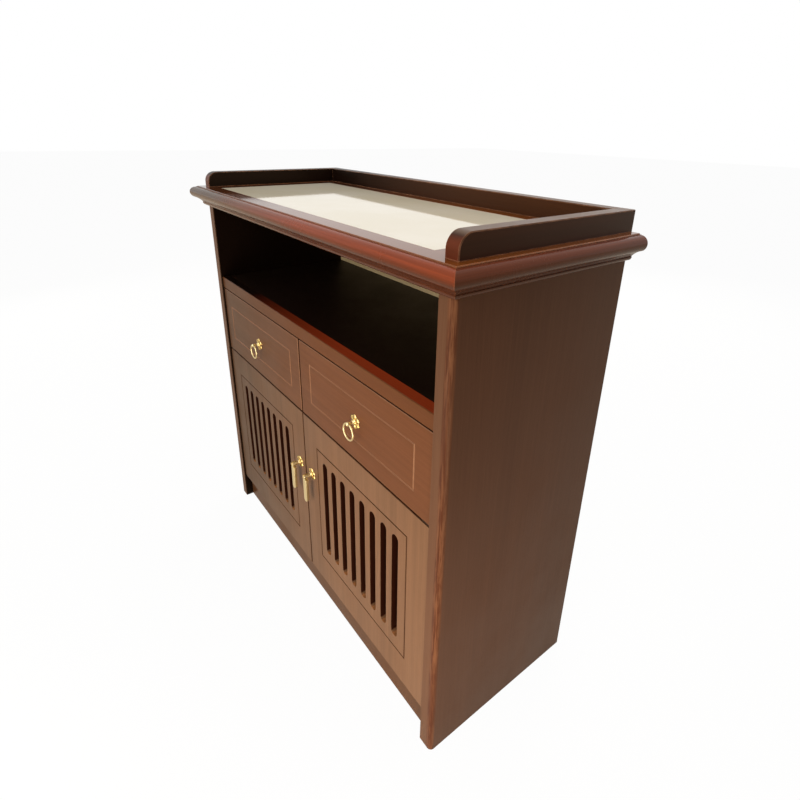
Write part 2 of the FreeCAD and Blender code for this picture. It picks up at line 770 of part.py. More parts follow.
def stud_bore(name, place):
    x, z = place
    return cylinder(
        name + "_stud_bore", (x, fronts_y, z), BACKWARD, "Sizes.stud_radius + Sizes.peg_fit",
        "Sizes.front_thickness",
    )


# Pulls: a rosette of petals, a post with its stud and nut, and the piece that swings


def petal_outline(orbit, radius):
    """A flower outline: one arc for each petal, from valley to valley."""
    half = radians(180 / size.petal_count)
    valley = orbit * cos(half) + sqrt(radius ** 2 - (orbit * sin(half)) ** 2)
    tip = orbit + radius

    def ray(turn, reach):
        angle = radians(90) + turn * half
        return vector(cos(angle), sin(angle)) * reach

    petals = range(int(size.petal_count))
    return [ray(-1, valley)] + [(ray(2 * petal, tip), ray(2 * petal + 1, valley)) for petal in petals]


def rosette(name, place):
    """A flower plate with sloping petals and a low boss, drilled for the stud."""
    x, z = place
    start = vector(x, fronts_y, z)
    body = doc.addObject("PartDesign::Body", name + "_flower")
    rim = new_sketch(body, name + "_rim", "XZ_Plane")
    outline(rim, petal_outline(size.petal_orbit, size.petal_radius))
    crown = new_sketch(body, name + "_crown", "XZ_Plane", (0, 0, size.rosette_thickness))
    outline(crown, petal_outline(size.petal_top_orbit, size.petal_top_radius))
    plate = body.newObject("PartDesign::AdditiveLoft", name + "_plate")
    plate.Profile = rim
    plate.Sections = [crown]
    plate.Ruled = True
    body.Placement.Base = start
    boss = cone(
        name + "_dome", start - BACKWARD * size.rosette_thickness, BACKWARD * -1,
        "Sizes.rosette_dome_radius", "Sizes.rosette_dome_radius - Sizes.rosette_dome_height",
        "Sizes.rosette_dome_height",
    )
    bore = cylinder(
        name + "_bore", start, BACKWARD * -1, "Sizes.stud_radius + Sizes.peg_fit",
        "Sizes.rosette_thickness + Sizes.rosette_dome_height",
    )
    keep(cut(name, fuse(name + "_blank", [body, boss]), [bore]), name)


def stud_and_nut(name, place):
    """The threaded end of a post and the six-sided nut that holds it behind the front."""
    x, z = place
    stud = cylinder(
        name + "_stud", (x, fronts_back_y + size.nut_height, z), BACKWARD * -1, "Sizes.stud_radius",
        "Sizes.front_thickness + Sizes.nut_height + Sizes.rosette_thickness + Sizes.rosette_dome_height",
    )
    blank = doc.addObject("Part::Prism", name + "_nut_blank")
    bind(blank, Polygon="Sizes.nut_sides", Circumradius="Sizes.nut_radius", Height="Sizes.nut_height")
    blank.Placement = FreeCAD.Placement(vector(x, fronts_back_y, z), turned(BACKWARD))
    bore = cylinder(name + "_nut_bore", (x, fronts_back_y, z), BACKWARD, "Sizes.stud_radius", "Sizes.nut_height")
    return stud, cut(name + "_nut", blank, [bore])


def make_ring_pull(name, place):
    """A ring that hangs in the eye of a post."""
    x, z = place
    rosette(name + "_rosette", place)
    seat_y = fronts_y - size.rosette_thickness - size.rosette_dome_height
    eye = vector(x, fronts_y - size.eye_reach, z)
    stud, nut = stud_and_nut(name, place)
    stem = cylinder(
        name + "_stem", (x, seat_y, z), BACKWARD * -1, "Sizes.eye_stem_radius",
        "Sizes.eye_reach - Sizes.rosette_thickness - Sizes.rosette_dome_height",
    )
    across = eye - RIGHT * (size.eye_width / 2)
    knuckle = cylinder(name + "_knuckle", across, RIGHT, "Sizes.eye_radius", "Sizes.eye_width")
    hole = cylinder(name + "_eye_hole", across, RIGHT, "Sizes.eye_hole_radius", "Sizes.eye_width")
    post = cut(name + "_post", fuse(name + "_post_blank", [stud, stem, knuckle]), [hole])
    keep(group(name + "_eye_post", [post, nut]), name + "_eye_post")
    ring = doc.addObject("Part::Torus", name + "_ring")
    bind(ring, Radius1="Sizes.ring_radius", Radius2="Sizes.ring_wire_radius")
    ring.Placement = FreeCAD.Placement(eye - UP * size.ring_radius, turned(BACKWARD))
    keep(ring, name + "_ring")


def make_bar_pull(name, place):
    """A flat drop bar on a pin in the slotted end of a round post."""
    x, z = place
    rosette(name + "_rosette", place)
    seat_y = fronts_y - size.rosette_thickness - size.rosette_dome_height
    tip = vector(x, fronts_y - size.post_reach, z)
    pin_centre = tip + BACKWARD * size.post_pin_inset
    stud, nut = stud_and_nut(name, place)
    stem = cylinder(
        name + "_stem", (x, seat_y, z), BACKWARD * -1, "Sizes.post_radius",
        "Sizes.post_reach - Sizes.rosette_thickness - Sizes.rosette_dome_height",
    )
    slot = box(
        name + "_slot", (x - size.post_slot_width / 2, tip.y, z - size.post_radius),
        "Sizes.post_slot_width", "Sizes.post_slot_length", "2 * Sizes.post_radius",
    )
    pin = cylinder(
        name + "_pin", pin_centre - RIGHT * size.post_radius, RIGHT, "Sizes.post_pin_radius",
        "2 * Sizes.post_radius",
    )
    slotted = cut(name + "_slotted", fuse(name + "_post_blank", [stud, stem]), [slot])
    post = fuse(name + "_pinned", [slotted, pin])
    keep(group(name + "_post", [post, nut]), name + "_post")
    body = doc.addObject("PartDesign::Body", name + "_bar_body")
    face = new_sketch(body, name + "_bar_face", "XZ_Plane", (0, 0, size.bar_thickness / 2))
    half = size.bar_width / 2
    neck = size.bar_neck_width / 2
    eye = size.bar_thickness / 2
    outline(
        face,
        [
            vector(neck, eye),
            vector(neck, -size.bar_neck_length),
            vector(half, -size.bar_neck_length),
            vector(half, half - size.bar_length),
            (vector(0, -size.bar_length), vector(-half, half - size.bar_length)),
            vector(-half, -size.bar_neck_length),
            vector(-neck, -size.bar_neck_length),
            vector(-neck, eye),
        ],
    )
    blade = pad(body, name + "_bar_blade", face, "Sizes.bar_thickness", backwards=True)
    eye_edges = edges_where(blade, lambda a, b: near(a.z, eye) and near(b.z, eye) and near(a.y, b.y))
    rounded = dress(
        body, "Fillet", name + "_bar_eye", blade, eye_edges, Radius="Sizes.bar_thickness / 2 - Sizes.bar_edge"
    )
    long_edges = edges_where(
        rounded,
        lambda a, b: near(abs(a.y), eye) and near(a.y, b.y) and near(a.x, b.x) and near(abs(a.x), half),
    )
    dress(body, "Chamfer", name + "_bar_edge", rounded, long_edges, Size="Sizes.bar_edge")
    body.Placement.Base = pin_centre
    hole = cylinder(
        name + "_bar_hole", pin_centre - RIGHT * half, RIGHT, "Sizes.post_pin_radius + Sizes.pivot_fit",
        "Sizes.bar_width",
    )
    keep(cut(name + "_bar", body, [hole]), name + "_bar")


def bar_pull_z():
    return door_head - size.bar_pull_drop


# Pivot hinges: an L bracket with an upright pin above and below each door


def bracket_foot(end):
    """Where the underside of a bracket's tongue lies."""
    return size.kick_height if end == "foot" else door_head + (size.door_drawer_gap - size.bracket_sheet) / 2


def bracket_middle():
    return inner_x - size.fit_gap - size.bracket_width / 2


def make_bracket(side, name, end):
    """The bracket's tongue lies in the gap over or under the door; its leg stands on a board's edge."""
    foot = bracket_foot(end)
    x = side * bracket_middle() - size.bracket_width / 2
    tongue = box(
        name + "_tongue", (x, fronts_y + size.front_arris, foot), "Sizes.bracket_width",
        "Sizes.front_thickness + Sizes.board_setback - Sizes.front_arris", "Sizes.bracket_sheet",
    )
    stand = box(
        name + "_leg", (x, boards_y - size.bracket_sheet, foot), "Sizes.bracket_width",
        "Sizes.bracket_sheet", "Sizes.bracket_leg",
    )
    pin_z, way = (foot, UP * -1) if end == "head" else (foot + size.bracket_sheet, UP)
    pin = cylinder(
        name + "_pin", (side * pivot_x(), pivot_y(), pin_z), way, "Sizes.pivot_pin_radius",
        "Sizes.pivot_pin_length",
    )
    holes = [
        screw(f"{name}_countersink_{number}", place, " + Sizes.peg_fit")
        for number, place in enumerate(screw_places())
        if place.x * side > 0 and foot < place.z < foot + size.bracket_leg
    ]
    keep(cut(name, fuse(name + "_blank", [tongue, stand, pin]), holes), name)


# Magnetic catch


def make_catch():
    foot = divider_foot - size.catch_height
    face = fronts_back_y + size.strike_thickness + size.catch_gap
    housing = box(
        "catch_housing", (-size.catch_width / 2, face + size.magnet_height, foot), "Sizes.catch_width",
        "Sizes.catch_depth", "Sizes.catch_height",
    )
    magnets = [
        cylinder(
            f"catch_magnet_{side}",
            (side * size.catch_width / 4, face, foot + size.catch_height / 2), BACKWARD,
            "Sizes.magnet_radius", "Sizes.magnet_height",
        )
        for side in (-1, 1)
    ]
    keep(fuse("door_catch", [housing] + magnets), "door_catch")
    for side, name in ((-1, "door_left"), (1, "door_right")):
        strike = box(
            name + "_strike",
            (side * size.catch_width / 4 - size.strike_width / 2, fronts_back_y,
             foot + (size.catch_height - size.strike_height) / 2),
            "Sizes.strike_width", "Sizes.strike_thickness", "Sizes.strike_height",
        )
        keep(strike, name + "_strike")


# Drawers


def drawer_box_frame(side):
    """Left and right of one drawer's box, and its foot."""
    near_middle = size.board_thickness / 2 + size.runner_gap
    near_side = inner_x - size.runner_gap
    low, high = (near_middle, near_side) if side > 0 else (-near_side, -near_middle)
    return low, high, divider_top + size.box_lift


BOX_WIDTH = (
    "(Sizes.body_width / 2 - Sizes.side_thickness - 2 * Sizes.runner_gap - Sizes.board_thickness / 2)"
)


def bottom_groove(name, corner, length, width):
    """The cutter for the groove that holds a drawer's bottom."""
    return box(name, corner, length, width, "Sizes.box_bottom_thickness + 2 * Sizes.groove_fit")


def make_drawer(side, name):
    low, high, foot = drawer_box_frame(side)
    groove_z = foot + size.box_bottom_lift
    groove = ("drawer_groove_side", "drawer_groove_side", "drawer_groove_end", "drawer_groove_end")
    width = inner_x - size.front_side_gap - size.drawer_middle_gap / 2
    body = front_slab(name + "_slab", DRAWER_WIDTH, "Sizes.drawer_front_height", groove)
    left = size.drawer_middle_gap / 2 if side > 0 else -size.drawer_middle_gap / 2 - width
    body.Placement.Base = vector(left, fronts_y, drawer_foot)
    pull = (left + width / 2, drawer_foot + size.drawer_front_height / 2 - size.ring_pull_drop)
    front_groove = bottom_groove(
        name + "_front_groove",
        (low + size.box_side_thickness - size.box_groove_depth,
         fronts_back_y - size.box_groove_depth, groove_z - size.groove_fit),
        f"{BOX_WIDTH} - 2 * Sizes.box_side_thickness + 2 * Sizes.box_groove_depth",
        "Sizes.box_groove_depth",
    )
    keep(cut(name + "_front", body, [stud_bore(name, pull), front_groove]), name + "_front")
    for label, x, groove_x in (
        ("_side_left", low, low + size.box_side_thickness - size.box_groove_depth),
        ("_side_right", high - size.box_side_thickness, high - size.box_side_thickness),
    ):
        blank = box(
            name + label + "_blank", (x, fronts_back_y, foot), "Sizes.box_side_thickness",
            "Sizes.box_depth", "Sizes.box_height",
        )
        channel = bottom_groove(
            name + label + "_groove", (groove_x, fronts_back_y, groove_z - size.groove_fit),
            "Sizes.box_groove_depth", "Sizes.box_depth",
        )
        keep(cut(name + label, blank, [channel]), name + label)
    back = box(
        name + "_back",
        (low + size.box_side_thickness, fronts_back_y + size.box_depth - size.box_side_thickness,
         groove_z + size.box_bottom_thickness + size.groove_fit),
        f"{BOX_WIDTH} - 2 * Sizes.box_side_thickness", "Sizes.box_side_thickness",
        "Sizes.box_height - Sizes.box_bottom_lift - Sizes.box_bottom_thickness - Sizes.groove_fit",
    )
    keep(back, name + "_back")
    bottom = box(
        name + "_bottom",
        (low + size.box_side_thickness - size.box_groove_depth + size.groove_fit,
         fronts_back_y - size.box_groove_depth + size.groove_fit, groove_z),
        f"{BOX_WIDTH} - 2 * Sizes.box_side_thickness + 2 * Sizes.box_groove_depth - 2 * Sizes.groove_fit",
        "Sizes.box_depth + Sizes.box_groove_depth - Sizes.groove_fit", "Sizes.box_bottom_thickness",
    )
    keep(bottom, name + "_bottom")
    make_runners(name, low, high, foot)
    make_ring_pull(name, pull)


def make_runners(name, low, high, foot):
    """Side runners: a C channel on the carcass and the rail on the drawer that runs in it."""
    y = fronts_back_y + size.board_setback
    channels = []
    rails = []
    for number, (face, way) in enumerate(((low, -1), (high, 1))):
        wall = face + way * size.runner_gap
        z = foot + size.runner_lift
        outer = box(
            f"{name}_channel_{number}_outer",
            (min(wall, wall - way * size.runner_channel_depth), y, z), "Sizes.runner_channel_depth",
            "Sizes.runner_length", "Sizes.runner_height",
        )
        web_side = size.runner_sheet if way < 0 else 0
        inner = box(
            f"{name}_channel_{number}_inner",
            (min(wall, wall - way * size.runner_channel_depth) + web_side, y, z + size.runner_sheet),
            "Sizes.runner_channel_depth - Sizes.runner_sheet", "Sizes.runner_length",
            "Sizes.runner_height - 2 * Sizes.runner_sheet",
        )
        channels.append(cut(f"{name}_channel_{number}", outer, [inner]))
        rail_depth = size.runner_gap - size.runner_sheet - size.runner_play
        rail_x = min(face, face + way * rail_depth)
        rail_z = z + size.runner_sheet + size.runner_play
        rail = box(
            f"{name}_rail_{number}_outer", (rail_x, y, rail_z),
            "Sizes.runner_gap - Sizes.runner_sheet - Sizes.runner_play", "Sizes.runner_length",
            "Sizes.runner_height - 2 * Sizes.runner_sheet - 2 * Sizes.runner_play",
        )
        hollow = box(
            f"{name}_rail_{number}_hollow",
            (rail_x + (size.runner_sheet if way > 0 else 0), y, rail_z + size.runner_sheet),
            "Sizes.runner_gap - 2 * Sizes.runner_sheet - Sizes.runner_play", "Sizes.runner_length",
            "Sizes.runner_height - 4 * Sizes.runner_sheet - 2 * Sizes.runner_play",
        )
        rails.append(cut(f"{name}_rail_{number}", rail, [hollow]))
    keep(group(name + "_channels", channels), name + "_channels")
    keep(group(name + "_rails", rails), name + "_rails")


for side, word in ((-1, "left"), (1, "right")):
    make_side_panel(side, f"side_panel_{word}")
    make_door(side, f"door_{word}")
    make_bar_pull(f"door_{word}", (side * size.bar_pull_offset, bar_pull_z()))
    make_bracket(side, f"pivot_bracket_{word}_head", "head")
    make_bracket(side, f"pivot_bracket_{word}_foot", "foot")
    make_drawer(side, f"drawer_{word}")
make_boards()
make_shelf_rail()
make_partition()
make_top_rails()
make_back_panel()
make_top_board()
make_inset_panel()
make_mouldings()
make_gallery()
make_cupboard_shelf()
make_catch()
make_dowels()
make_screws()

doc.recompute()
failed = [item.Name for item in doc.Objects if {"Invalid", "Error"} & set(item.State)]
failed += [label for label, item in kept.items() if item.Shape.isNull() or not item.Shape.isValid()]
if failed:
    raise RuntimeError("pieces that failed: " + ", ".join(failed))
os.makedirs("parts", exist_ok=True)
for label, item in kept.items():
    item.Shape.exportStep(f"parts/{label}.step")
print(len(kept), "pieces")
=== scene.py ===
"""A tea cabinet in stained and varnished wood, dressed and set in a plain studio.

Everything is in metres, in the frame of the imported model: +Z up, the fronts face -Y.
"""
import logging
from dataclasses import dataclass, replace
from enum import Enum
from math import cos, pi, radians, sin, sqrt

import bmesh
import bpy
from mathutils import Matrix, Vector


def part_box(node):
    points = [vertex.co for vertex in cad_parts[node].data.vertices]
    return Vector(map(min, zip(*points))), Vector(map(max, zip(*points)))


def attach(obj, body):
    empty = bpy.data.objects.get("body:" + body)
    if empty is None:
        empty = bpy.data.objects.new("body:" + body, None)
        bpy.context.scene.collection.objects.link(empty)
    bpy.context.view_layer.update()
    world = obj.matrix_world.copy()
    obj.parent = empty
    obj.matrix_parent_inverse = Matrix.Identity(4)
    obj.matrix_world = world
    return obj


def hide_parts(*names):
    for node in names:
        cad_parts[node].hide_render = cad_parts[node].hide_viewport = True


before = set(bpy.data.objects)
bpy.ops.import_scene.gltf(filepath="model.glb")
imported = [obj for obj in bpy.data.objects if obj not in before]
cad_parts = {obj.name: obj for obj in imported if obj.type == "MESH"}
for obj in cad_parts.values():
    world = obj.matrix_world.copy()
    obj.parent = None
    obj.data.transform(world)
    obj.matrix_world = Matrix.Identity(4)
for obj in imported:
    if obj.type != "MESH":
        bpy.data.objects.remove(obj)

Colour = tuple[float, float, float]
Triple = tuple[float, float, float]
Point = tuple[float, float]
Socket = bpy.types.NodeSocket
Sockets = bpy.types.bpy_prop_collection
Form = bmesh.types.BMesh
Piece = bpy.types.Object

log = logging.getLogger("tea_cabinet")
MM = 0.001
PORE_DEPTH = 0.4 * MM


class Grain(Enum):
    """The way the grain of a board runs, as the order of axes that puts it along Z."""

    ACROSS = "YZX"
    DEEP = "ZXY"
    UPRIGHT = "XYZ"


class Side(Enum):
    """Left and right half of the cabinet, as seen from the front."""

    LEFT = "left"
    RIGHT = "right"


def linear(red: int, green: int, blue: int) -> Colour:
    """Turns a colour as it looks on a screen into the renderer's linear one.

    Args:
        red: Red, 0 to 255.
        green: Green, 0 to 255.
        blue: Blue, 0 to 255.

    Returns:
        The three linear values.
    """

    def one(value: int) -> float:
        """Returns one linear channel."""
        share = value / 255
        return share / 12.92 if share <= 0.04045 else ((share + 0.055) / 1.055) ** 2.4

    return one(red), one(green), one(blue)


class Graph:
    """A node tree under construction, for a material, the world or a shared group."""

    def __init__(self, tree: bpy.types.NodeTree) -> None:
        """Starts on a tree.

        Args:
            tree: The node tree that new nodes go into.
        """
        self.tree = tree

    def feed(self, socket: Socket, value: object) -> None:
        """Links or sets an input.

        Args:
            socket: The input.
            value: A socket to link from, or a plain value.
        """
        if isinstance(value, Socket):
            self.tree.links.new(value, socket)
        elif isinstance(value, tuple) and socket.type == "RGBA":
            socket.default_value = (*value, 1)
        else:
            socket.default_value = value

    def add(self, kind: str, inputs: dict[str | int, object] | None = None,
            **settings: object) -> bpy.types.Node:
        """Adds a node, sets its properties and feeds its inputs.

        Args:
            kind: The node's type, without the leading ShaderNode.
            inputs: A socket or a plain value for each named or numbered input.
            **settings: Properties of the node itself.

        Returns:
            The new node.
        """
        node = self.tree.nodes.new("ShaderNode" + kind)
        for key, value in settings.items():
            setattr(node, key, value)
        for key, value in (inputs or {}).items():
            self.feed(node.inputs[key], value)
        return node

    def maths(self, operation: str, *values: object) -> Socket:
        """Adds a Math node.

        Args:
            operation: What it does, such as SUBTRACT.
            *values: Its inputs, sockets or numbers.

        Returns:
            Its output.
        """
        return self.add("Math", dict(enumerate(values)), operation=operation).outputs[0]

    def times(self, first: object, *others: object) -> Socket:
        """Multiplies values, one after the other.

        Args:
            first: The first one, a socket or a number.
            *others: The others.

        Returns:
            The product.
        """
        for other in others:
            first = self.maths("MULTIPLY", first, other)
        return first

    def blend(self, amount: object, first: object, second: object, how: str = "MIX") -> Socket:
        """Mixes two colours.

        Args:
            amount: How much of the second colour, a socket or a number.
            first: The colour underneath.
            second: The colour on top.
            how: The blend mode.

        Returns:
            The mixed colour.
        """
        node = self.add("Mix", data_type="RGBA", blend_type=how)
        for name, value in {"Factor_Float": amount, "A_Color": first, "B_Color": second}.items():
            self.feed(next(item for item in node.inputs if item.identifier == name), value)
        return next(item for item in node.outputs if item.identifier == "Result_Color")

    def noise(self, vector: Socket, scale: float | Triple, detail: float = 2, rough: float = 0.5) -> Socket:
        """Adds a noise texture.

        Args:
            vector: Where it is read.
            scale: Its scale, or one for each axis.
            detail: Its octaves.
            rough: How strong the finer octaves are.

        Returns:
            Its grey value.
        """
        if isinstance(scale, tuple):
            vector, scale = self.add("Mapping", {"Vector": vector, "Scale": scale}).outputs[0], 1
        inputs = {"Vector": vector, "Scale": scale, "Detail": detail, "Roughness": rough}
        return self.add("TexNoise", inputs).outputs["Fac"]

    def axes(self, vector: Socket) -> Sockets:
        """Splits a vector and returns its X, Y and Z by name."""
        return self.add("SeparateXYZ", {0: vector}).outputs

    def between(self, value: object, low: float | Socket, high: float | Socket, start: float = 0,
                end: float = 1) -> Socket:
        """Maps a value from one range to another, clamped.

        Args:
            value: The value.
            low: Where the range starts.
            high: Where the range ends.
            start: The result at low.
            end: The result at high.

        Returns:
            The mapped value.
        """
        inputs = {"Value": value, "From Min": low, "From Max": high, "To Min": start, "To Max": end}
        return self.add("MapRange", inputs).outputs[0]

    def group(self, name: str, **inputs: object) -> Sockets:
        """Places a shared group.

        Args:
            name: The group's name.
            **inputs: A socket or a plain value for each named input.

        Returns:
            The group's outputs.
        """
        node = self.add("Group", node_tree=SharedGroup.get(name))
        for key, value in inputs.items():
            self.feed(node.inputs[key.replace("_", " ")], value)
        return node.outputs

    def seen(self) -> tuple[Socket, Socket]:
        """Finds the rays that see the white surroundings.

        Returns:
            A mask of all of them, and one of the mirrored ones alone.
        """
        path = self.add("LightPath").outputs
        seen = self.maths("MAXIMUM", path["Is Camera Ray"], path["Is Glossy Ray"])
        return self.maths("MAXIMUM", seen, path["Is Transmission Ray"]), path["Is Glossy Ray"]


class SharedGroup:
    """Node groups with named inputs and outputs that several finishes use, each built once."""

    made: dict[str, bpy.types.NodeTree] = {}

    @classmethod
    def get(cls, name: str) -> bpy.types.NodeTree:
        """Returns a group, built on first use.

        Args:
            name: The name of the method that builds it.

        Returns:
            The node group.
        """
        if name not in cls.made:
            cls.made[name] = bpy.data.node_groups.new(name, "ShaderNodeTree")
            getattr(cls, name)(Graph(cls.made[name]))
        return cls.made[name]

    @staticmethod
    def open(graph: Graph, inputs: dict[str, object], *outputs: str) -> tuple[Sockets, Sockets]:
        """Makes the sockets of a group.

        Args:
            graph: The group's graph.
            inputs: A default for each named input: three numbers for a colour, None for a vector.
            *outputs: The names of the outputs.

        Returns:
            The sockets that bring the inputs, and those that take the outputs.
        """
        new_socket = graph.tree.interface.new_socket
        for name, value in inputs.items():
            kind = "Vector" if value is None else "Color" if isinstance(value, tuple) else "Float"
            socket = new_socket(name, in_out="INPUT", socket_type="NodeSocket" + kind)
            if value is not None:
                socket.default_value = (*value, 1) if kind == "Color" else value
        for name in outputs:
            kind = "Color" if name == "Color" else "Float"
            new_socket(name, in_out="OUTPUT", socket_type="NodeSocket" + kind)
        nodes = graph.tree.nodes
        return nodes.new("NodeGroupInput").outputs, nodes.new("NodeGroupOutput").inputs

    @staticmethod
    def wood_figure(graph: Graph) -> None:
        """Stained wood whose grain runs along Z: broad bands, streaks, fibres and open pores.

        Args:
            graph: The group's graph.
        """
        given, result = SharedGroup.open(
            graph,
            {"Vector": None, "Dark": (0.02, 0.01, 0.01), "Mid": (0.06, 0.03, 0.02),
             "Light": (0.12, 0.06, 0.03), "Streaks": 0.5, "Pores": 0.5},
            "Color", "Height",
        )
        sway = graph.noise(given["Vector"], (5, 5, 1.4), 1)
        shift = graph.add("CombineXYZ", {0: graph.between(sway, 0, 1, -8 * MM, 8 * MM),
                                         1: graph.between(sway, 0, 1, 6 * MM, -6 * MM)}).outputs[0]
        bent = graph.add("VectorMath", {0: given["Vector"], 1: shift}, operation="ADD").outputs[0]
        broad = graph.between(graph.noise(bent, (17, 17, 0.8), 3), 0.32, 0.68)
        streak = graph.between(graph.noise(bent, (120, 120, 1.6), 4, 0.6), 0.42, 0.68)
        fibre = graph.noise(bent, (650, 650, 9), 3, 0.6)
        pore = graph.between(graph.noise(bent, (1500, 1500, 60), 1), 0.62, 0.7)
        tone = graph.blend(broad, given["Dark"], given["Mid"])
        lit = graph.blend(graph.times(streak, given["Streaks"]), tone, given["Light"])
        deep = graph.blend(1, given["Dark"], (0.55, 0.5, 0.5), "MULTIPLY")
        fine = graph.blend(graph.between(fibre, 0.3, 0.7, 0.22, 0), lit, deep)
        sunk = graph.times(pore, given["Pores"])
        graph.feed(result["Color"], graph.blend(graph.times(sunk, 0.7), fine, deep))
        graph.feed(result["Height"], graph.maths("SUBTRACT", graph.times(fibre, 0.4), sunk))

    @staticmethod
    def arris_rub(graph: Graph) -> None:
        """A mask of the outer edges, where hands and cloths have thinned the stain and where painted
        highlights lie.

        Args:
            graph: The group's graph.
        """
        given, result = SharedGroup.open(graph, {"Vector": None, "Reach": 1.2 * MM, "Amount": 1.0}, "Mask")
        soft = graph.add("Bevel", {"Radius": given["Reach"]}, samples=4).outputs[0]
        hard = graph.add("NewGeometry").outputs["Normal"]
        match = graph.add("VectorMath", {0: soft, 1: hard}, operation="DOT_PRODUCT").outputs["Value"]
        edge = graph.between(match, 0.995, 0.86)
        broken = graph.between(graph.noise(given["Vector"], 60, 3), 0.35, 0.65, 0.35, 1)
        graph.feed(result["Mask"], graph.times(edge, broken, given["Amount"]))

    @staticmethod
    def corner_rub(graph: Graph) -> None:
        """Masks of the rounded front corners, for a painted shade, and of the painted highlight streaks along
        them.

        Args:
            graph: The group's graph.
        """
        given, result = SharedGroup.open(
            graph, {"Vector": None, "Amount": 1.0, "Front": -0.1417, "Side": 0.3975}, "Mask", "Bend")
        spot = graph.axes(graph.add("TexCoord").outputs["Object"])
        front, side = given["Front"], given["Side"]
        depth = graph.between(spot["Y"], front, graph.maths("ADD", front, -5 * MM))
        width = graph.between(graph.maths("ABSOLUTE", spot["X"]), side, graph.maths("ADD", side, 3 * MM))
        bend = graph.times(depth, width)
        fine = graph.noise(given["Vector"], (330, 330, 20), 3, 0.65)
        slow = graph.noise(given["Vector"], (40, 40, 6), 2)
        streak = graph.times(graph.between(fine, 0.42, 0.58), graph.between(slow, 0.35, 0.6, 0.3, 1))
        graph.feed(result["Mask"], graph.times(bend, streak, given["Amount"]))
        graph.feed(result["Bend"], bend)

    @staticmethod
    def facing(graph: Graph) -> None:
        """Masks of faces by the way they look and by where they are in the cabinet, for painted light and
        shade.

        Args:
            graph: The group's graph.
        """
        given, result = SharedGroup.open(
            graph, {"Hollow Top": 0.0}, "Inward", "Sideways", "Upward", "Upward Right", "Upward Low",
            "Downward", "Left", "Frontward", "Slanted")
        place = graph.add("TexCoord").outputs
        spot, normal = graph.axes(place["Object"]), graph.axes(place["Normal"])
        inward = graph.times(normal["X"], graph.maths("SIGN", spot["X"]))
        upward = graph.between(normal["Z"], 0.76, 0.92)
        top = given["Hollow Top"]
        low = graph.between(spot["Z"], top, graph.maths("SUBTRACT", top, 5 * MM))
        ahead = graph.maths("ABSOLUTE", normal["Y"])
        masks = {
            "Inward": graph.between(inward, -0.5, -0.8),
            "Sideways": graph.between(graph.maths("ABSOLUTE", normal["X"]), 0.76, 0.92),
            "Upward": upward,
            "Upward Right": graph.times(upward, graph.between(spot["X"], -0.22, 0.16)),
            "Upward Low": graph.times(upward, graph.between(spot["Z"], 0.35, 0.3)),
            "Downward": graph.maths("MAXIMUM", graph.between(normal["Z"], 0.4, -0.35), low),
            "Left": graph.between(spot["X"], 0.08, -0.3),
            "Frontward": graph.between(normal["Y"], -0.6, -0.9),
            "Slanted": graph.times(graph.between(ahead, 0.6, 0.68), graph.between(ahead, 0.86, 0.76)),
        }
        for name, mask in masks.items():
            graph.feed(result[name], mask)

    @staticmethod
    def handling(graph: Graph) -> None:
        """Wiped patches and fine scratches that change the roughness a little.

        Args:
            graph: The group's graph.
        """
        given, result = SharedGroup.open(graph, {"Vector": None, "Base": 0.3, "Spread": 0.06}, "Roughness")
        patch = graph.between(graph.noise(given["Vector"], 9, 3, 0.6), 0.3, 0.7, -1, 1)
        haze = graph.between(graph.noise(given["Vector"], 240, 2), 0.3, 0.7, -0.3, 0.3)
        spread = graph.times(graph.maths("ADD", patch, haze), given["Spread"])
        graph.feed(result["Roughness"], graph.maths("ADD", given["Base"], spread))

    @staticmethod
    def ply_layers(graph: Graph) -> None:
        """Alternate light and dark veneers across the thickness of a board, read along X.

        Args:
            graph: The group's graph.
        """
        given, result = SharedGroup.open(graph, {"Vector": None, "Pitch": 3 * MM}, "Mask")
        depth = graph.axes(given["Vector"])["X"]
        turn = graph.times(graph.maths("DIVIDE", depth, given["Pitch"]), 2 * pi)
        graph.feed(result["Mask"], graph.between(graph.maths("SINE", turn), -0.25, 0.25))


class Surface(Graph):
    """The graph of a material with a Principled shader."""

    def __init__(self, name: str) -> None:
        """Makes the material.

        Args:
            name: Its name.
        """
        self.material = bpy.data.materials.new(name)
        self.material.use_nodes = True
        super().__init__(self.material.node_tree)
        self.shader = self.tree.nodes["Principled BSDF"]
        self.place = self.add("TexCoord").outputs["Object"]

    def finish(self, colour: Socket, roughness: float, spread: float = 0.06,
               relief: tuple[Socket, float, float] | None = None, **even: object) -> bpy.types.Material:
        """Joins a finish to the shader.

        Args:
            colour: Its colour.
            roughness: The middle of its roughness.
            spread: How far handling has changed that.
            relief: The height, strength and depth in metres of its bump, if it has one.
            **even: What is the same all over, for the shader's own sockets.

        Returns:
            The material.
        """
        inputs = self.shader.inputs
        self.feed(inputs["Base Color"], colour)
        handling = self.group("handling", Vector=self.place, Base=roughness, Spread=spread)
        self.feed(inputs["Roughness"], handling["Roughness"])
        if relief:
            bump = self.add("Bump", dict(zip(("Height", "Strength", "Distance"), relief)))
            self.feed(inputs["Normal"], bump.outputs[0])
        for name, value in even.items():
            self.feed(inputs[name.replace("_", " ")], value)
        return self.material


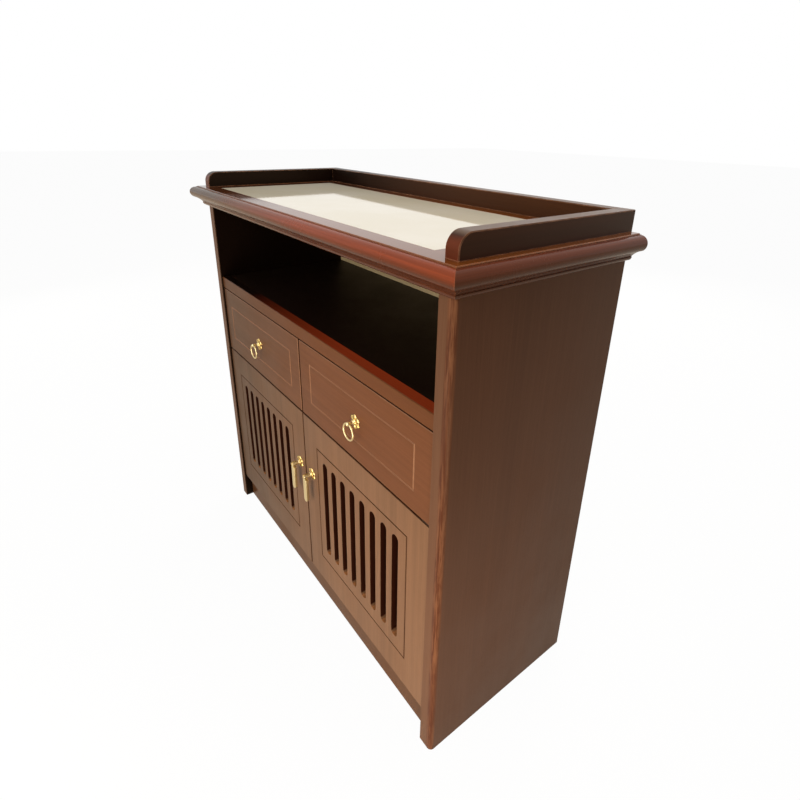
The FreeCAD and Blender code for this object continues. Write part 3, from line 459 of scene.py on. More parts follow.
class WoodSurface(Surface):
    """The surface of one board, whose own place vector has the grain along Z."""

    def __init__(self, name: str, grain: Grain, offset: float) -> None:
        """Makes the board's material.

        Args:
            name: The finish's name.
            grain: The direction of the grain.
            offset: Metres by which the figure is moved, so that no two boards are alike.
        """
        super().__init__(f"{name}_{grain.name.lower()}_{round(offset * 10)}")
        axes = self.axes(self.place)
        turned = self.add("CombineXYZ", {index: axes[axis] for index, axis in enumerate(grain.value)})
        moved = {"Vector": turned.outputs[0], "Location": (offset, 2 * offset, 3 * offset)}
        self.place = self.add("Mapping", moved).outputs[0]

    def figure(self, base: object, contrast: float, streaks: float, pores: float) -> tuple[Socket, Socket]:
        """Places the shared wood figure, in shades of one colour.

        Args:
            base: The wood's middle tone, a colour or a socket.
            contrast: How far the darkest and lightest tones are from it.
            streaks: How strong the light streaks are.
            pores: How strong the pores are.

        Returns:
            The figure's colour and height.
        """
        dark, light = (self.blend(1, base, (share,) * 3, "MULTIPLY")
                       for share in (1 - contrast, 1 + 2 * contrast))
        wood = self.group("wood_figure", Vector=self.place, Dark=dark, Mid=base, Light=light,
                          Streaks=streaks, Pores=pores)
        return wood["Color"], wood["Height"]


@dataclass(frozen=True)
class VarnishedWood:
    """Stained wood under a satin varnish, with painted light and shade on some faces.

    left is a painted shade on the cabinet's left end, front a painted light on front faces, inside a painted
    shade on faces that look into the cabinet, reveal a painted shade on the sides of slots, groove painted
    light and shade on slanted groove walls. lip is a painted shade on faces that look up, lip_right a painted
    light on those at the right, sill a painted highlight on those at the foot of a slot. hollow is a painted
    shade on faces that look down and all below hollow_top, at the right and at the left. corner is a painted
    shade on the rounded corners.
    """

    name: str
    base: Colour
    contrast: float = 0.16
    streaks: float = 0.3
    pores: float = 0.3
    # painted highlight, partly worn stain: the paler colour of the edges and of the corner streaks, and how
    # much of it
    wear_highlight: Colour = linear(176, 108, 66)
    edge_wear_highlight: float = 0.35
    reach: float = 1.2 * MM
    corner: Colour | None = None
    corner_rub: float = 0.0
    inside: Colour | None = None
    reveal: Colour | None = None
    lip: Colour | None = None
    lip_right: Colour | None = None
    sill: Colour | None = None
    groove: Colour | None = None
    left: Colour | None = None
    front: Colour | None = None
    hollow: tuple[Colour, Colour] | None = None
    hollow_top: float = 0.0
    hollow_share: float = 0.85
    roughness: float = 0.36
    specular: float = 0.2
    tint: Colour = (1.0, 0.75, 0.5)
    relief: float = 0.05

    def material(self, grain: Grain, offset: float) -> bpy.types.Material:
        """Builds the material for one board.

        Args:
            grain: The direction of the board's grain.
            offset: Where in the figure the board was cut.

        Returns:
            The material.
        """
        board = WoodSurface(self.name, grain, offset)
        colour, height = board.figure(self.tone(board), self.contrast, self.streaks, self.pores)
        # Painted shade on faces that look down and below hollow_top, lighter at the left end.
        if self.hollow:
            facing = board.group("facing", Hollow_Top=self.hollow_top)
            hollow = board.blend(facing["Left"], *self.hollow)
            colour = board.blend(board.times(facing["Downward"], self.hollow_share), colour, hollow)
        # Painted highlight along the edges, partly worn stain.
        if self.edge_wear_highlight:
            wear_highlight = board.group("arris_rub", Vector=board.place, Amount=self.edge_wear_highlight, Reach=self.reach)
            colour = board.blend(wear_highlight["Mask"], colour, self.wear_highlight)
        # Painted shade on the rounded corners and painted highlight streaks along them.
        if self.corner:
            painted_corner = board.group("corner_rub", Vector=board.place, Amount=self.corner_rub)
            colour = board.blend(painted_corner["Bend"], colour, self.corner)
            colour = board.blend(painted_corner["Mask"], colour, self.wear_highlight)
        return board.finish(colour, self.roughness, relief=(height, self.relief, PORE_DEPTH),
                            Specular_IOR_Level=self.specular, Specular_Tint=self.tint)

    def tone(self, graph: Graph) -> object:
        """The stain before the wood's figure, with painted light and shade on the faces that have a tone of
        their own.

        Args:
            graph: The material's graph.

        Returns:
            A colour or a socket.
        """
        facing = graph.group("facing")
        tones = {"Left": self.left, "Frontward": self.front, "Inward": self.inside,
                 "Sideways": self.reveal, "Upward": self.lip, "Upward Right": self.lip_right,
                 "Upward Low": self.sill, "Slanted": self.groove}
        colour = self.base
        for name, tone in tones.items():
            if tone:
                colour = graph.blend(facing[name], colour, tone)
        return colour


@dataclass(frozen=True)
class BareWood:
    """Sanded plywood or beech without varnish."""

    name: str
    base: Colour
    contrast: float = 0.16
    streaks: float = 0.6
    pores: float = 0.25
    layered: bool = False
    veneer: float = 0.35
    veneer_shade: float = 0.7
    roughness: float = 0.6
    specular: float = 0.3
    relief: float = 0.2

    def material(self, grain: Grain, offset: float) -> bpy.types.Material:
        """Builds the material for one board.

        Args:
            grain: The direction of the board's grain.
            offset: Where in the figure the board was cut.

        Returns:
            The material.
        """
        board = WoodSurface(self.name, grain, offset)
        colour, height = board.figure(self.base, self.contrast, self.streaks, self.pores)
        if self.layered:
            across = board.add("TexCoord").outputs["Object"]
            if grain is Grain.ACROSS:
                across = board.axes(across)["Y"]
            layers = board.group("ply_layers", Vector=across)["Mask"]
            darker = tuple(channel * self.veneer_shade for channel in self.base)
            colour = board.blend(board.times(layers, self.veneer), colour, darker)
        return board.finish(colour, self.roughness, relief=(height, self.relief, PORE_DEPTH),
                            Specular_IOR_Level=self.specular)


@dataclass(frozen=True)
class Metal:
    """Polished brass or zinc-plated steel."""

    name: str
    bright: Colour
    dull: Colour
    roughness: float
    brushed: float = 0.0
    relief: float = 0.05
    scratch_depth: float = 0.1 * MM
    dulled: float = 0.45
    # painted shade: the deeper colour on faces turned away from the view
    rim: Colour | None = None

    def material(self) -> bpy.types.Material:
        """Builds the material: clouded tone, fine scratches and a painted shade, a deeper tone on faces
        turned away from the view.

        Returns:
            The material.
        """
        metal = Surface(self.name)
        cloud = metal.between(metal.noise(metal.place, 180, 3, 0.6), 0.35, 0.7)
        scratch = metal.noise(metal.place, (2600, 400, 2600), 2)
        colour = metal.blend(metal.times(cloud, self.dulled), self.bright, self.dull)
        # Painted shade: a deeper colour on faces turned away from the view.
        if self.rim:
            turned = metal.add("LayerWeight", {"Blend": 0.5}).outputs["Facing"]
            colour = metal.blend(metal.between(turned, 0.25, 0.85), colour, self.rim)
        return metal.finish(colour, self.roughness, 0.05, (scratch, self.relief, self.scratch_depth),
                            Metallic=1, Anisotropic=self.brushed)


@dataclass(frozen=True)
class Glaze:
    """The glossy cream panel in the top, faintly mottled."""

    name: str
    pale: Colour
    warm: Colour
    roughness: float
    wiped: float = 0.015
    specular: float = 0.4

    def material(self) -> bpy.types.Material:
        """Builds the material: two creams in soft clouds, fine speckle and a clear gloss.

        Returns:
            The material.
        """
        panel = Surface(self.name)
        cloud = panel.between(panel.noise(panel.place, 7, 4, 0.55), 0.35, 0.65)
        speck = panel.between(panel.noise(panel.place, 900, 2), 0.66, 0.74, 0, 0.25)
        colour = panel.blend(speck, panel.blend(cloud, self.pale, self.warm), self.warm)
        return panel.finish(colour, self.roughness, self.wiped, Specular_IOR_Level=self.specular)


@dataclass(frozen=True)
class Board:
    """Pressed fibre board or moulded plastic: an even colour with fine specks."""

    name: str
    base: Colour
    speck: Colour
    roughness: float
    fineness: float = 700
    relief: float = 0.15
    grit_depth: float = 0.3 * MM

    def material(self) -> bpy.types.Material:
        """Builds the material: cloudy base, fibres or specks, and a fine bump.

        Returns:
            The material.
        """
        board = Surface(self.name)
        cloud = board.between(board.noise(board.place, 12, 3), 0.3, 0.7, 0, 0.5)
        grit = board.noise(board.place, self.fineness, 3, 0.6)
        colour = board.blend(cloud, self.base, self.speck)
        colour = board.blend(board.between(grit, 0.4, 0.7, 0, 0.5), colour, self.speck)
        return board.finish(colour, self.roughness, relief=(grit, self.relief, self.grit_depth))


class Finishes:
    """The finishes of this cabinet."""

    # painted shade: a near-black for faces deep in shade
    SHADE_BLACK = linear(20, 10, 6)
    # painted shade towards the left end, on slot and gap sides and on faces that look up; painted highlight
    # on groove walls and edges
    FRONT = VarnishedWood("front_varnish", linear(119, 73, 46), left=linear(102, 70, 48), streaks=0.35,
                          wear_highlight=linear(186, 142, 114), edge_wear_highlight=0.2, reveal=linear(62, 30, 19),
                          lip=linear(58, 31, 20), groove=linear(160, 116, 88), specular=0.1)
    # painted shade towards the left end, on slot sides, faces that look up and groove walls; painted
    # highlight at the foot of the slots and on edges
    DOOR = replace(FRONT, name="door_varnish", base=linear(135, 98, 72), left=linear(102, 73, 51),
                   reveal=linear(52, 23, 14), sill=linear(196, 132, 84), groove=linear(72, 44, 29),
                   wear_highlight=linear(192, 142, 108), edge_wear_highlight=0.35)
    # painted shade towards the left end and on the top face; painted light on the top face at the right
    RAIL = VarnishedWood("rail_varnish", linear(118, 71, 42), left=linear(100, 64, 40), lip=SHADE_BLACK,
                         lip_right=linear(196, 77, 38), specular=0.1)
    # painted light on the front edges; painted shade on the rounded corners and on faces inside; painted
    # highlight streaks on the corners
    CARCASS = VarnishedWood("carcass_varnish", linear(93, 62, 46), contrast=0.14, streaks=0.25,
                            front=linear(112, 77, 56), wear_highlight=linear(168, 116, 82), corner=linear(86, 47, 31),
                            corner_rub=0.38, inside=SHADE_BLACK, specular=0.1)
    # painted shade: the kickboard is darker than the fronts, for the shade under the doors
    KICK = VarnishedWood("kick_varnish", linear(104, 68, 44), specular=0.1)
    # painted shade towards the left end and on faces that look down, lighter at the left; painted highlight
    # along the edges
    MOULDING = VarnishedWood("moulding_varnish", linear(152, 68, 37), left=linear(78, 52, 28), contrast=0.26,
                             streaks=0.6, wear_highlight=linear(226, 140, 96), edge_wear_highlight=0.25, pores=0,
                             hollow=(linear(70, 40, 25), linear(126, 97, 76)), hollow_top=0.796,
                             roughness=0.24, specular=0.2, relief=0)
    # painted shade: a darker copy of the moulding finish for the side pieces
    SHADED_SIDE_MOULDING = replace(MOULDING, name="side_moulding_varnish", base=linear(106, 50, 29))
    # painted shade towards the left end; painted highlight along the edges
    TOP = VarnishedWood("top_varnish", linear(128, 68, 22), left=linear(84, 44, 22),
                        wear_highlight=linear(226, 130, 78), edge_wear_highlight=0.8, roughness=0.08, specular=0.45, relief=0.01)
    # painted light on front faces; painted shade towards the left end; painted reflection on faces that look
    # up at the right; painted highlight on edges
    GALLERY = VarnishedWood("gallery_varnish", linear(60, 32, 20), left=linear(24, 12, 7),
                            front=linear(112, 52, 30), lip_right=linear(106, 82, 66),
                            wear_highlight=linear(222, 160, 122), edge_wear_highlight=0.7, reach=2 * MM, specular=0.15)
    # painted light: a lighter, redder copy of the gallery finish for the back rail
    LIT_BACK_GALLERY = replace(GALLERY, name="back_gallery_varnish", base=linear(74, 41, 21), front=None)
    # painted shade: the inner boards are near-black for the shade inside the cabinet
    INNER = VarnishedWood("inner_painted_shade", SHADE_BLACK, edge_wear_highlight=0, specular=0.15, roughness=0.45)
    BOX = BareWood("birch_ply", linear(206, 170, 122), layered=True)
    DOWEL = BareWood("beech", linear(216, 180, 132))
    BACK = Board("back_board", linear(236, 212, 164), linear(212, 184, 136), 0.55)
    PLASTIC = Board("catch_plastic", linear(70, 52, 40), linear(56, 42, 32), 0.4, 2400)
    CREAM = Glaze("cream_glaze", linear(246, 239, 221), linear(240, 231, 207), 0.05)
    # rim: painted shade on faces turned away from the view
    BRASS = Metal("pull_brass", linear(255, 236, 218), linear(252, 217, 184), 0.12, rim=linear(160, 104, 56))
    GOLD_BRASS = Metal("rosette_brass", linear(252, 224, 150), linear(210, 162, 82), 0.1,
                       rim=linear(118, 72, 22))
    ZINC = Metal("zinc_plate", linear(206, 208, 210), linear(168, 172, 178), 0.3, 0.3)
    BLACK_ZINC = Metal("black_zinc", linear(52, 42, 34), linear(36, 30, 26), 0.4)


def paint(piece: Piece, material: bpy.types.Material) -> None:
    """Gives every material slot of a piece the same material.

    Args:
        piece: The object.
        material: Its material.
    """
    if not piece.material_slots:
        piece.data.materials.append(material)
    for slot in piece.material_slots:
        slot.material = material


def paint_nodes(material: bpy.types.Material, *nodes: str) -> None:
    """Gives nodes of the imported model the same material."""
    for node in nodes:
        paint(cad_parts[node], material)


def dress(finish: VarnishedWood | BareWood, first_offset: float, boards: dict[str, Grain]) -> None:
    """Gives boards a finish, each with its own cut of the figure.

    Args:
        finish: The finish.
        first_offset: Where in the figure the first board is cut.
        boards: The direction of the grain for each board's node.
    """
    apart = 0.37
    for number, (node, grain) in enumerate(boards.items()):
        paint_nodes(finish.material(grain, first_offset + apart * number), node)


def new_piece(name: str, form: Form, sharp: float = 35) -> Piece:
    """Turns a bmesh into an object with smooth faces and sharp edges.

    Args:
        name: The piece's name.
        form: The shape; it is freed.
        sharp: The angle in degrees above which an edge stays sharp.

    Returns:
        The object.
    """
    bmesh.ops.remove_doubles(form, verts=form.verts, dist=1e-7)
    bmesh.ops.recalc_face_normals(form, faces=form.faces)
    mesh = bpy.data.meshes.new(name)
    form.to_mesh(mesh)
    form.free()
    mesh.shade_smooth()
    mesh.set_sharp_from_angle(angle=radians(sharp))
    piece = bpy.data.objects.new(name, mesh)
    bpy.context.scene.collection.objects.link(piece)
    return piece


def settle(piece: Piece) -> None:
    """Applies a piece's modifiers to its mesh.

    Args:
        piece: The piece.
    """
    graph = bpy.context.evaluated_depsgraph_get()
    mesh = bpy.data.meshes.new_from_object(piece.evaluated_get(graph))
    piece.modifiers.clear()
    piece.data = mesh


def cut(piece: Piece, shape: Form, crossed: bool = False) -> None:
    """Cuts a shape out of a piece.

    Args:
        piece: The piece.
        shape: The shape; it is freed.
        crossed: Whether parts of the shape run through each other.
    """
    cutter = new_piece("cutter", shape)
    carve = piece.modifiers.new("cut", "BOOLEAN")
    carve.operation = "DIFFERENCE"
    carve.object = cutter
    carve.solver = "EXACT"
    carve.use_self = crossed
    settle(piece)
    bpy.data.objects.remove(cutter)


def merge(target: Form, other: Form) -> None:
    """Adds one shape to another and frees it.

    Args:
        target: The shape that grows.
        other: The shape that is added.
    """
    spare = bpy.data.meshes.new("spare")
    other.to_mesh(spare)
    other.free()
    target.from_mesh(spare)
    bpy.data.meshes.remove(spare)


def add_parts(piece: Piece, *parts: Form, sharp: float = 35) -> None:
    """Adds shapes to a piece's mesh.

    Args:
        piece: The piece.
        *parts: The shapes; they are freed.
        sharp: The angle in degrees above which an edge stays sharp.
    """
    form = bmesh.new()
    form.from_mesh(piece.data)
    for part in parts:
        merge(form, part)
    form.to_mesh(piece.data)
    form.free()
    piece.data.shade_smooth()
    piece.data.set_sharp_from_angle(angle=radians(sharp))


def bridge(form: Form, rows: list[list[bmesh.types.BMVert]]) -> None:
    """Joins closed rows of points by faces.

    Args:
        form: The shape.
        rows: The rows, each joined to the next; a row of one point is a tip.
    """
    for lower, upper in zip(rows, rows[1:]):
        count = max(len(lower), len(upper))
        for step in range(count):
            after = (step + 1) % count
            corners = [lower[step % len(lower)], lower[after % len(lower)],
                       upper[after % len(upper)], upper[step % len(upper)]]
            form.faces.new(list(dict.fromkeys(corners)))


def lathe(profile: list[Point], turn: Matrix, segments: int = 48) -> Form:
    """Revolves a profile about its own Z axis.

    Args:
        profile: Points of radius and height, from one end of the axis to the other.
        turn: Where the axis lies in the cabinet's frame.
        segments: Faces round the axis.

    Returns:
        The shape, closed at both ends.
    """
    form = bmesh.new()
    angles = [2 * pi * step / segments for step in range(segments)]
    rings = [[form.verts.new(turn @ Vector((radius * cos(angle), radius * sin(angle), height)))
              for angle in (angles if radius > 0 else [0])] for radius, height in profile]
    bridge(form, rings)
    for ring in (rings[0], rings[-1]):
        if len(ring) > 1:
            form.faces.new(ring)
    return form


def block(turn: Matrix, half: Triple) -> Form:
    """Makes a box.

    Args:
        turn: The frame that it stands in the middle of.
        half: Half its length along each axis.

    Returns:
        The shape.
    """
    form = bmesh.new()
    bmesh.ops.create_cube(form, size=2, matrix=turn @ Matrix.Diagonal((*half, 1)))
    return form


def arc(centre: Point, radius: float, start: float, end: float, steps: int = 8) -> list[Point]:
    """Points on an arc, both ends included.

    Args:
        centre: Its centre.
        radius: Its radius.
        start: The angle in degrees where it starts.
        end: The angle in degrees where it ends.
        steps: The number of runs.

    Returns:
        The points.
    """
    angles = [radians(start + (end - start) * step / steps) for step in range(steps + 1)]
    return [(centre[0] + radius * cos(angle), centre[1] + radius * sin(angle)) for angle in angles]


def outward(rosette: str) -> Matrix:
    """Finds the place of a pull.

    Args:
        rosette: The node of its rosette.

    Returns:
        A frame on the front, behind the rosette's middle, whose Z axis points out of the front.
    """
    low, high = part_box(rosette)
    seat = Vector(((low.x + high.x) / 2, high.y, (low.z + high.z) / 2))
    return Matrix.Translation(seat) @ Matrix.Rotation(pi / 2, 4, "X")


def crosswise(turn: Matrix, height: float) -> Matrix:
    """A frame at a height on the Z axis of another, with its own Z axis along the other's X."""
    return turn @ Matrix.Translation((0, 0, height)) @ Matrix.Rotation(pi / 2, 4, "Y")


@dataclass
class Rosette:
    """The flower-shaped plate behind a pull."""

    name: str
    node: str
    petals: int = 6
    petal_orbit: float = 8.2 * MM
    petal_radius: float = 5 * MM
    relief: float = 2.6 * MM
    rim: float = 0.7 * MM
    crease: float = 0.28
    rings: int = 12
    steps: int = 16
    boss: tuple[Point, ...] = (
        (5.6 * MM, 1.2 * MM), (5.6 * MM, 2.6 * MM), (5.2 * MM, 3.1 * MM), (4.5 * MM, 3.3 * MM),
        (4.2 * MM, 3.7 * MM), (3.6 * MM, 4.2 * MM), (0, 4.2 * MM))

    def outline(self, turn: float) -> float:
        """The plate's radius in a direction measured from the middle of a petal.

        Args:
            turn: The angle in radians.

        Returns:
            The radius.
        """
        side = self.petal_orbit * sin(turn)
        return self.petal_orbit * cos(turn) + sqrt(self.petal_radius ** 2 - side ** 2)

    def build(self) -> Piece:
        """Builds domed petals with a crease between them, and a turned boss in the middle.

        Returns:
            The rosette.
        """
        turn = outward(self.node)
        form = bmesh.new()
        count = self.petals * self.steps
        rows = [[] for _ in range(self.rings + 1)]
        foot = []
        for step in range(count):
            angle = (((step + self.steps / 2) % self.steps) / self.steps - 0.5) * 2 * pi / self.petals
            around = 2 * pi * step / count + pi / 2
            edge = self.outline(angle) * Vector((cos(around), sin(around), 0))
            swell = (self.relief - self.rim) * (1 - self.crease + self.crease * cos(self.petals * angle))
            for ring, row in enumerate(rows):
                share = ring / self.rings
                height = self.rim + swell * sqrt(1 - share ** 4)
                row.append(form.verts.new(turn @ (share * edge + Vector((0, 0, height)))))
            foot.append(form.verts.new(turn @ edge))
        bridge(form, [*rows, foot])
        form.faces.new(foot)
        merge(form, lathe(self.boss, turn, 40))
        return new_piece(self.name, form, 50)


@dataclass
class Pull:
    """What both kinds of pull have: a rosette, a post on it and a stud through the front."""

    side: Side
    seat: float = 4.2 * MM
    sunk: float = 0.4 * MM
    collar_height: float = 0.5 * MM
    nut_radius: float = 4 * MM
    stud_radius: float = 2 * MM
    wall: float = 18 * MM

    def stud(self, turn: Matrix, depth: float) -> list[Form]:
        """The stud that goes through the front and the hexagonal nut behind it.

        Args:
            turn: The frame of the post.
            depth: How far behind the front's face the stud ends.

        Returns:
            The two shapes.
        """
        thin, wide = self.stud_radius, self.nut_radius
        stud = [(thin * 0.8, -depth), (thin, -depth + 0.4 * MM), (thin, 0)]
        nut = [(thin, -depth + 0.3 * MM), (wide * 0.85, -depth + 0.3 * MM), (wide, -depth + 0.8 * MM),
               (wide, -self.wall), (thin, -self.wall)]
        return [lathe([(0, -depth), *stud, (0, 0)], turn, 24), lathe(nut, turn, 6)]

    def hang(self, prefix: str, parts: dict[str, Piece]) -> None:
        """Gives the pieces of a pull their brass and their body, and hides the nodes that they stand for.

        Args:
            prefix: The front's body, with which the nodes' names start.
            parts: The rosette, the post and the part that swings, by the end of the node's name.
        """
        for ending, piece in parts.items():
            finish = Finishes.GOLD_BRASS if ending == "rosette" else Finishes.BRASS
            paint(piece, bpy.data.materials.get(finish.name) or finish.material())
            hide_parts(f"{prefix}_{ending}")
            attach(piece, f"{ending}_{self.side.value}" if ending in ("ring", "bar") else prefix)


@dataclass
class RingPull(Pull):
    """A ring that hangs in the eye of a ball-ended post on a rosette."""

    eye_radius: float = 3.8 * MM
    hole_radius: float = 2 * MM
    stem_radius: float = 2.4 * MM
    collar_radius: float = 3.4 * MM
    stem_angle: float = 39
    ring_share: float = 0.88
    ring_steps: int = 96
    wire_steps: int = 20

    def build(self) -> None:
        """Builds the rosette, the post with its bored ball and the ring."""
        prefix = f"drawer_{self.side.value}"
        rosette = Rosette(prefix + "_flower", prefix + "_rosette").build()
        self.hang(prefix, {"rosette": rosette, "eye_post": self.post(prefix), "ring": self.ring(prefix)})

    def post(self, prefix: str) -> Piece:
        """The turned post: a collar, a slim stem and a bored ball, with its stud and nut.

        Args:
            prefix: The start of the nodes' names.

        Returns:
            The post.
        """
        turn = outward(prefix + "_rosette")
        face = turn.translation.y
        reach = face - sum(corner.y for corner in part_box(prefix + "_ring")) / 2
        eye, hole, stem = self.eye_radius, self.hole_radius, self.stem_radius
        neck = self.seat + 1.4 * MM
        profile = [(0, self.seat - self.sunk), (self.collar_radius, self.seat - self.sunk),
                   (self.collar_radius, self.seat + self.collar_height), (stem + 0.5 * MM, neck - 0.4 * MM),
                   (stem, neck), (stem, reach - eye * cos(radians(self.stem_angle)))]
        profile += arc((0, reach), eye, self.stem_angle - 90, 90, 20)[1:-1] + [(0, reach + eye)]
        post = new_piece(prefix + "_ball_post", lathe(profile, turn))
        span, flare, mouth = 1.4 * eye, 1.45 * hole, 0.86 * eye
        bore = [(0, -span), (flare, -span), (flare, -mouth), (hole, -mouth + 0.8 * MM),
                (hole, mouth - 0.8 * MM), (flare, mouth), (flare, span), (0, span)]
        cut(post, lathe(bore, crosswise(turn, reach), 32))
        add_parts(post, *self.stud(turn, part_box(prefix + "_eye_post")[1].y - face))
        return post

    def ring(self, prefix: str) -> Piece:
        """The ring of round wire, a little smaller than its node and hung from the same top.

        Args:
            prefix: The start of the nodes' names.

        Returns:
            The ring.
        """
        low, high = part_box(prefix + "_ring")
        wire = (high.y - low.y) / 2
        whole = (high.x - low.x) / 2 - wire
        radius = whole * self.ring_share
        centre = (low + high) / 2 + Vector((0, 0, whole - radius))
        form = bmesh.new()
        rows = []
        section = arc((radius, 0), wire, 0, 360, self.wire_steps)[:-1]
        for turn in (2 * pi * step / self.ring_steps for step in range(self.ring_steps)):
            rows.append([form.verts.new(centre + Vector((reach * cos(turn), depth, reach * sin(turn))))
                         for reach, depth in section])
        bridge(form, rows + rows[:1])
        return new_piece(prefix + "_round_ring", form, 60)


@dataclass
class BarPull(Pull):
    """A flat drop bar on a pin in the slotted end of a round post."""

    post_radius: float = 4.4 * MM
    slot_width: float = 3.4 * MM
    slot_length: float = 10 * MM
    pin_radius: float = 1.3 * MM
    pin_inset: float = 4.6 * MM
    neck_width: float = 3 * MM
    neck_length: float = 6.4 * MM
    edge: float = 0.9 * MM
    eye_edge: float = 0.4 * MM

    def build(self) -> None:
        """Builds the rosette, the slotted post with its pin and the bar."""
        prefix = f"door_{self.side.value}"
        rosette = Rosette(prefix + "_flower", prefix + "_rosette").build()
        self.hang(prefix, {"rosette": rosette, "post": self.post(prefix), "bar": self.bar(prefix)})

    def post(self, prefix: str) -> Piece:
        """The post with a rounded end, a slot for the bar and its pin.

        Args:
            prefix: The start of the nodes' names.

        Returns:
            The post.
        """
        turn = outward(prefix + "_rosette")
        face = turn.translation.y
        low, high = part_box(prefix + "_post")
        reach = face - low.y
        radius, wide = self.post_radius, self.post_radius + 0.5 * MM
        profile = [(0, self.seat - self.sunk), (wide, self.seat - self.sunk),
                   (wide, self.seat + self.collar_height), (radius, self.seat + 1 * MM)]
        profile += arc((radius - self.edge, reach - self.edge), self.edge, 0, 90, 5) + [(0, reach)]
        post = new_piece(prefix + "_slotted_post", lathe(profile, turn))
        slot = (self.slot_width / 2, radius * 1.5, self.slot_length)
        cut(post, block(turn @ Matrix.Translation((0, 0, reach)), slot))
        thick = self.pin_radius
        pin = [(0, -radius), (thick * 0.8, -radius), (thick, -radius + 0.2 * MM),
               (thick, radius - 0.2 * MM), (thick * 0.8, radius), (0, radius)]
        add_parts(post, lathe(pin, crosswise(turn, reach - self.pin_inset), 24),
                  *self.stud(turn, high.y - face))
        return post

    def bar(self, prefix: str) -> Piece:
        """The bar: an eye and a narrow neck round the pin and a flat blade with a rounded foot.

        Args:
            prefix: The start of the nodes' names.

        Returns:
            The bar.
        """
        low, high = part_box(prefix + "_bar")
        centre = Vector(((low.x + high.x) / 2, (low.y + high.y) / 2, high.z))
        half, eye, neck = (high.x - low.x) / 2, (high.y - low.y) / 2, self.neck_width / 2
        shoulder = -eye - self.neck_length
        bend = low.z - high.z + half
        outline = [(neck, shoulder), (half, shoulder), *arc((0, bend), half, 0, -180, 20),
                   (-half, shoulder), (-neck, shoulder)]
        form = bmesh.new()
        rims = [[form.verts.new(centre + Vector((x, depth, z))) for x, z in outline]
                for depth in (-eye, eye)]
        bridge(form, rims)
        for rim in rims:
            form.faces.new(rim)
        blade = new_piece(prefix + "_drop_bar", form)
        soften = blade.modifiers.new("soft_edges", "BEVEL")
        soften.width = self.edge
        soften.segments = 4
        soften.limit_method = "ANGLE"
        soften.angle_limit = radians(40)
        settle(blade)
        corner = self.eye_edge
        disc = [(self.pin_radius, -neck), *arc((eye - corner, corner - neck), corner, -90, 0, 3),
                *arc((eye - corner, neck - corner), corner, 0, 90, 3), (self.pin_radius, neck)]
        top = Matrix.Translation(centre)
        middle = (shoulder - eye - self.pin_radius) / 2
        stalk = (neck - 0.1 * MM, eye - self.edge, (-shoulder - eye - self.pin_radius) / 2 + 0.3 * MM)
        add_parts(blade, lathe(disc, crosswise(top, -eye), 40),
                  block(top @ Matrix.Translation((0, 0, middle)), stalk), sharp=30)
        return blade


@dataclass
class Carcass:
    """The fixed woodwork: sides, boards, rails and back panel."""

    screws_in_row: int = 5
    row_inset: float = 45 * MM
    head_radius: float = 3.6 * MM
    head_height: float = 1.3 * MM
    recess: float = 0.6 * MM

    def build(self) -> None:
        """Dresses the fixed boards."""
        across, upright, deep = Grain.ACROSS, Grain.UPRIGHT, Grain.DEEP
        dress(Finishes.CARCASS, 0.3, {"side_panel_left": upright, "side_panel_right": upright})
        dress(Finishes.KICK, 1.7, {"kickboard": across})
        dress(Finishes.RAIL, 2.1, {"shelf_rail": across})
        dress(Finishes.INNER, 4, {"bottom_board": across, "divider_board": across, "shelf_board": across,
                                  "drawer_partition": deep, "cupboard_shelf": across,
                                  "top_rail_front": across, "top_rail_back": across})
        paint_nodes(Finishes.BACK.material(), "back_panel")
        self.back_screws()
        paint_nodes(Finishes.DOWEL.material(across, 1), "dowels")
        log.info("carcass: eleven boards, back panel, screw heads, dowels")

    def back_screws(self) -> None:
        """Adds the rows of cross-recessed screws that hold the back panel to the boards in front of it."""
        low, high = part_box("back_panel")
        head = self.screw_head()
        form = bmesh.new()
        for board in ("top_rail_back", "shelf_board", "divider_board", "bottom_board"):
            height = sum(corner.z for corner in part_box(board)) / 2
            for number in range(self.screws_in_row):
                share = number / (self.screws_in_row - 1)
                across = low.x + self.row_inset + (high.x - low.x - 2 * self.row_inset) * share
                place = Matrix.Translation((across, high.y, height)) @ Matrix.Rotation(-pi / 2, 4, "X")
                copy = head.copy()
                copy.transform(place @ Matrix.Rotation(number + 9 * height, 4, "Z"))
                form.from_mesh(copy)
                bpy.data.meshes.remove(copy)
        screws = new_piece("back_screws", form)
        paint(screws, Finishes.ZINC.material())
        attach(screws, "carcass")
        bpy.data.meshes.remove(head)

    def screw_head(self) -> bpy.types.Mesh:
        """Makes one pan head with its cross recess, its axis along Z.

        Returns:
            The mesh.
        """
        radius, height = self.head_radius, self.head_height
        profile = [(0, -0.1 * MM), (radius, -0.1 * MM), (radius, 0.3 * height), (0.9 * radius, 0.7 * height),
                   (0.6 * radius, 0.95 * height), (0, height)]
        head = new_piece("screw_head", lathe(profile, Matrix.Identity(4), 24))
        top, arm = Matrix.Translation((0, 0, height)), (0.55 * radius, self.recess / 2, self.recess)
        cross = block(top, arm)
        merge(cross, block(top @ Matrix.Rotation(pi / 2, 4, "Z"), arm))
        cut(head, cross, crossed=True)
        mesh = head.data
        bpy.data.objects.remove(head)
        return mesh


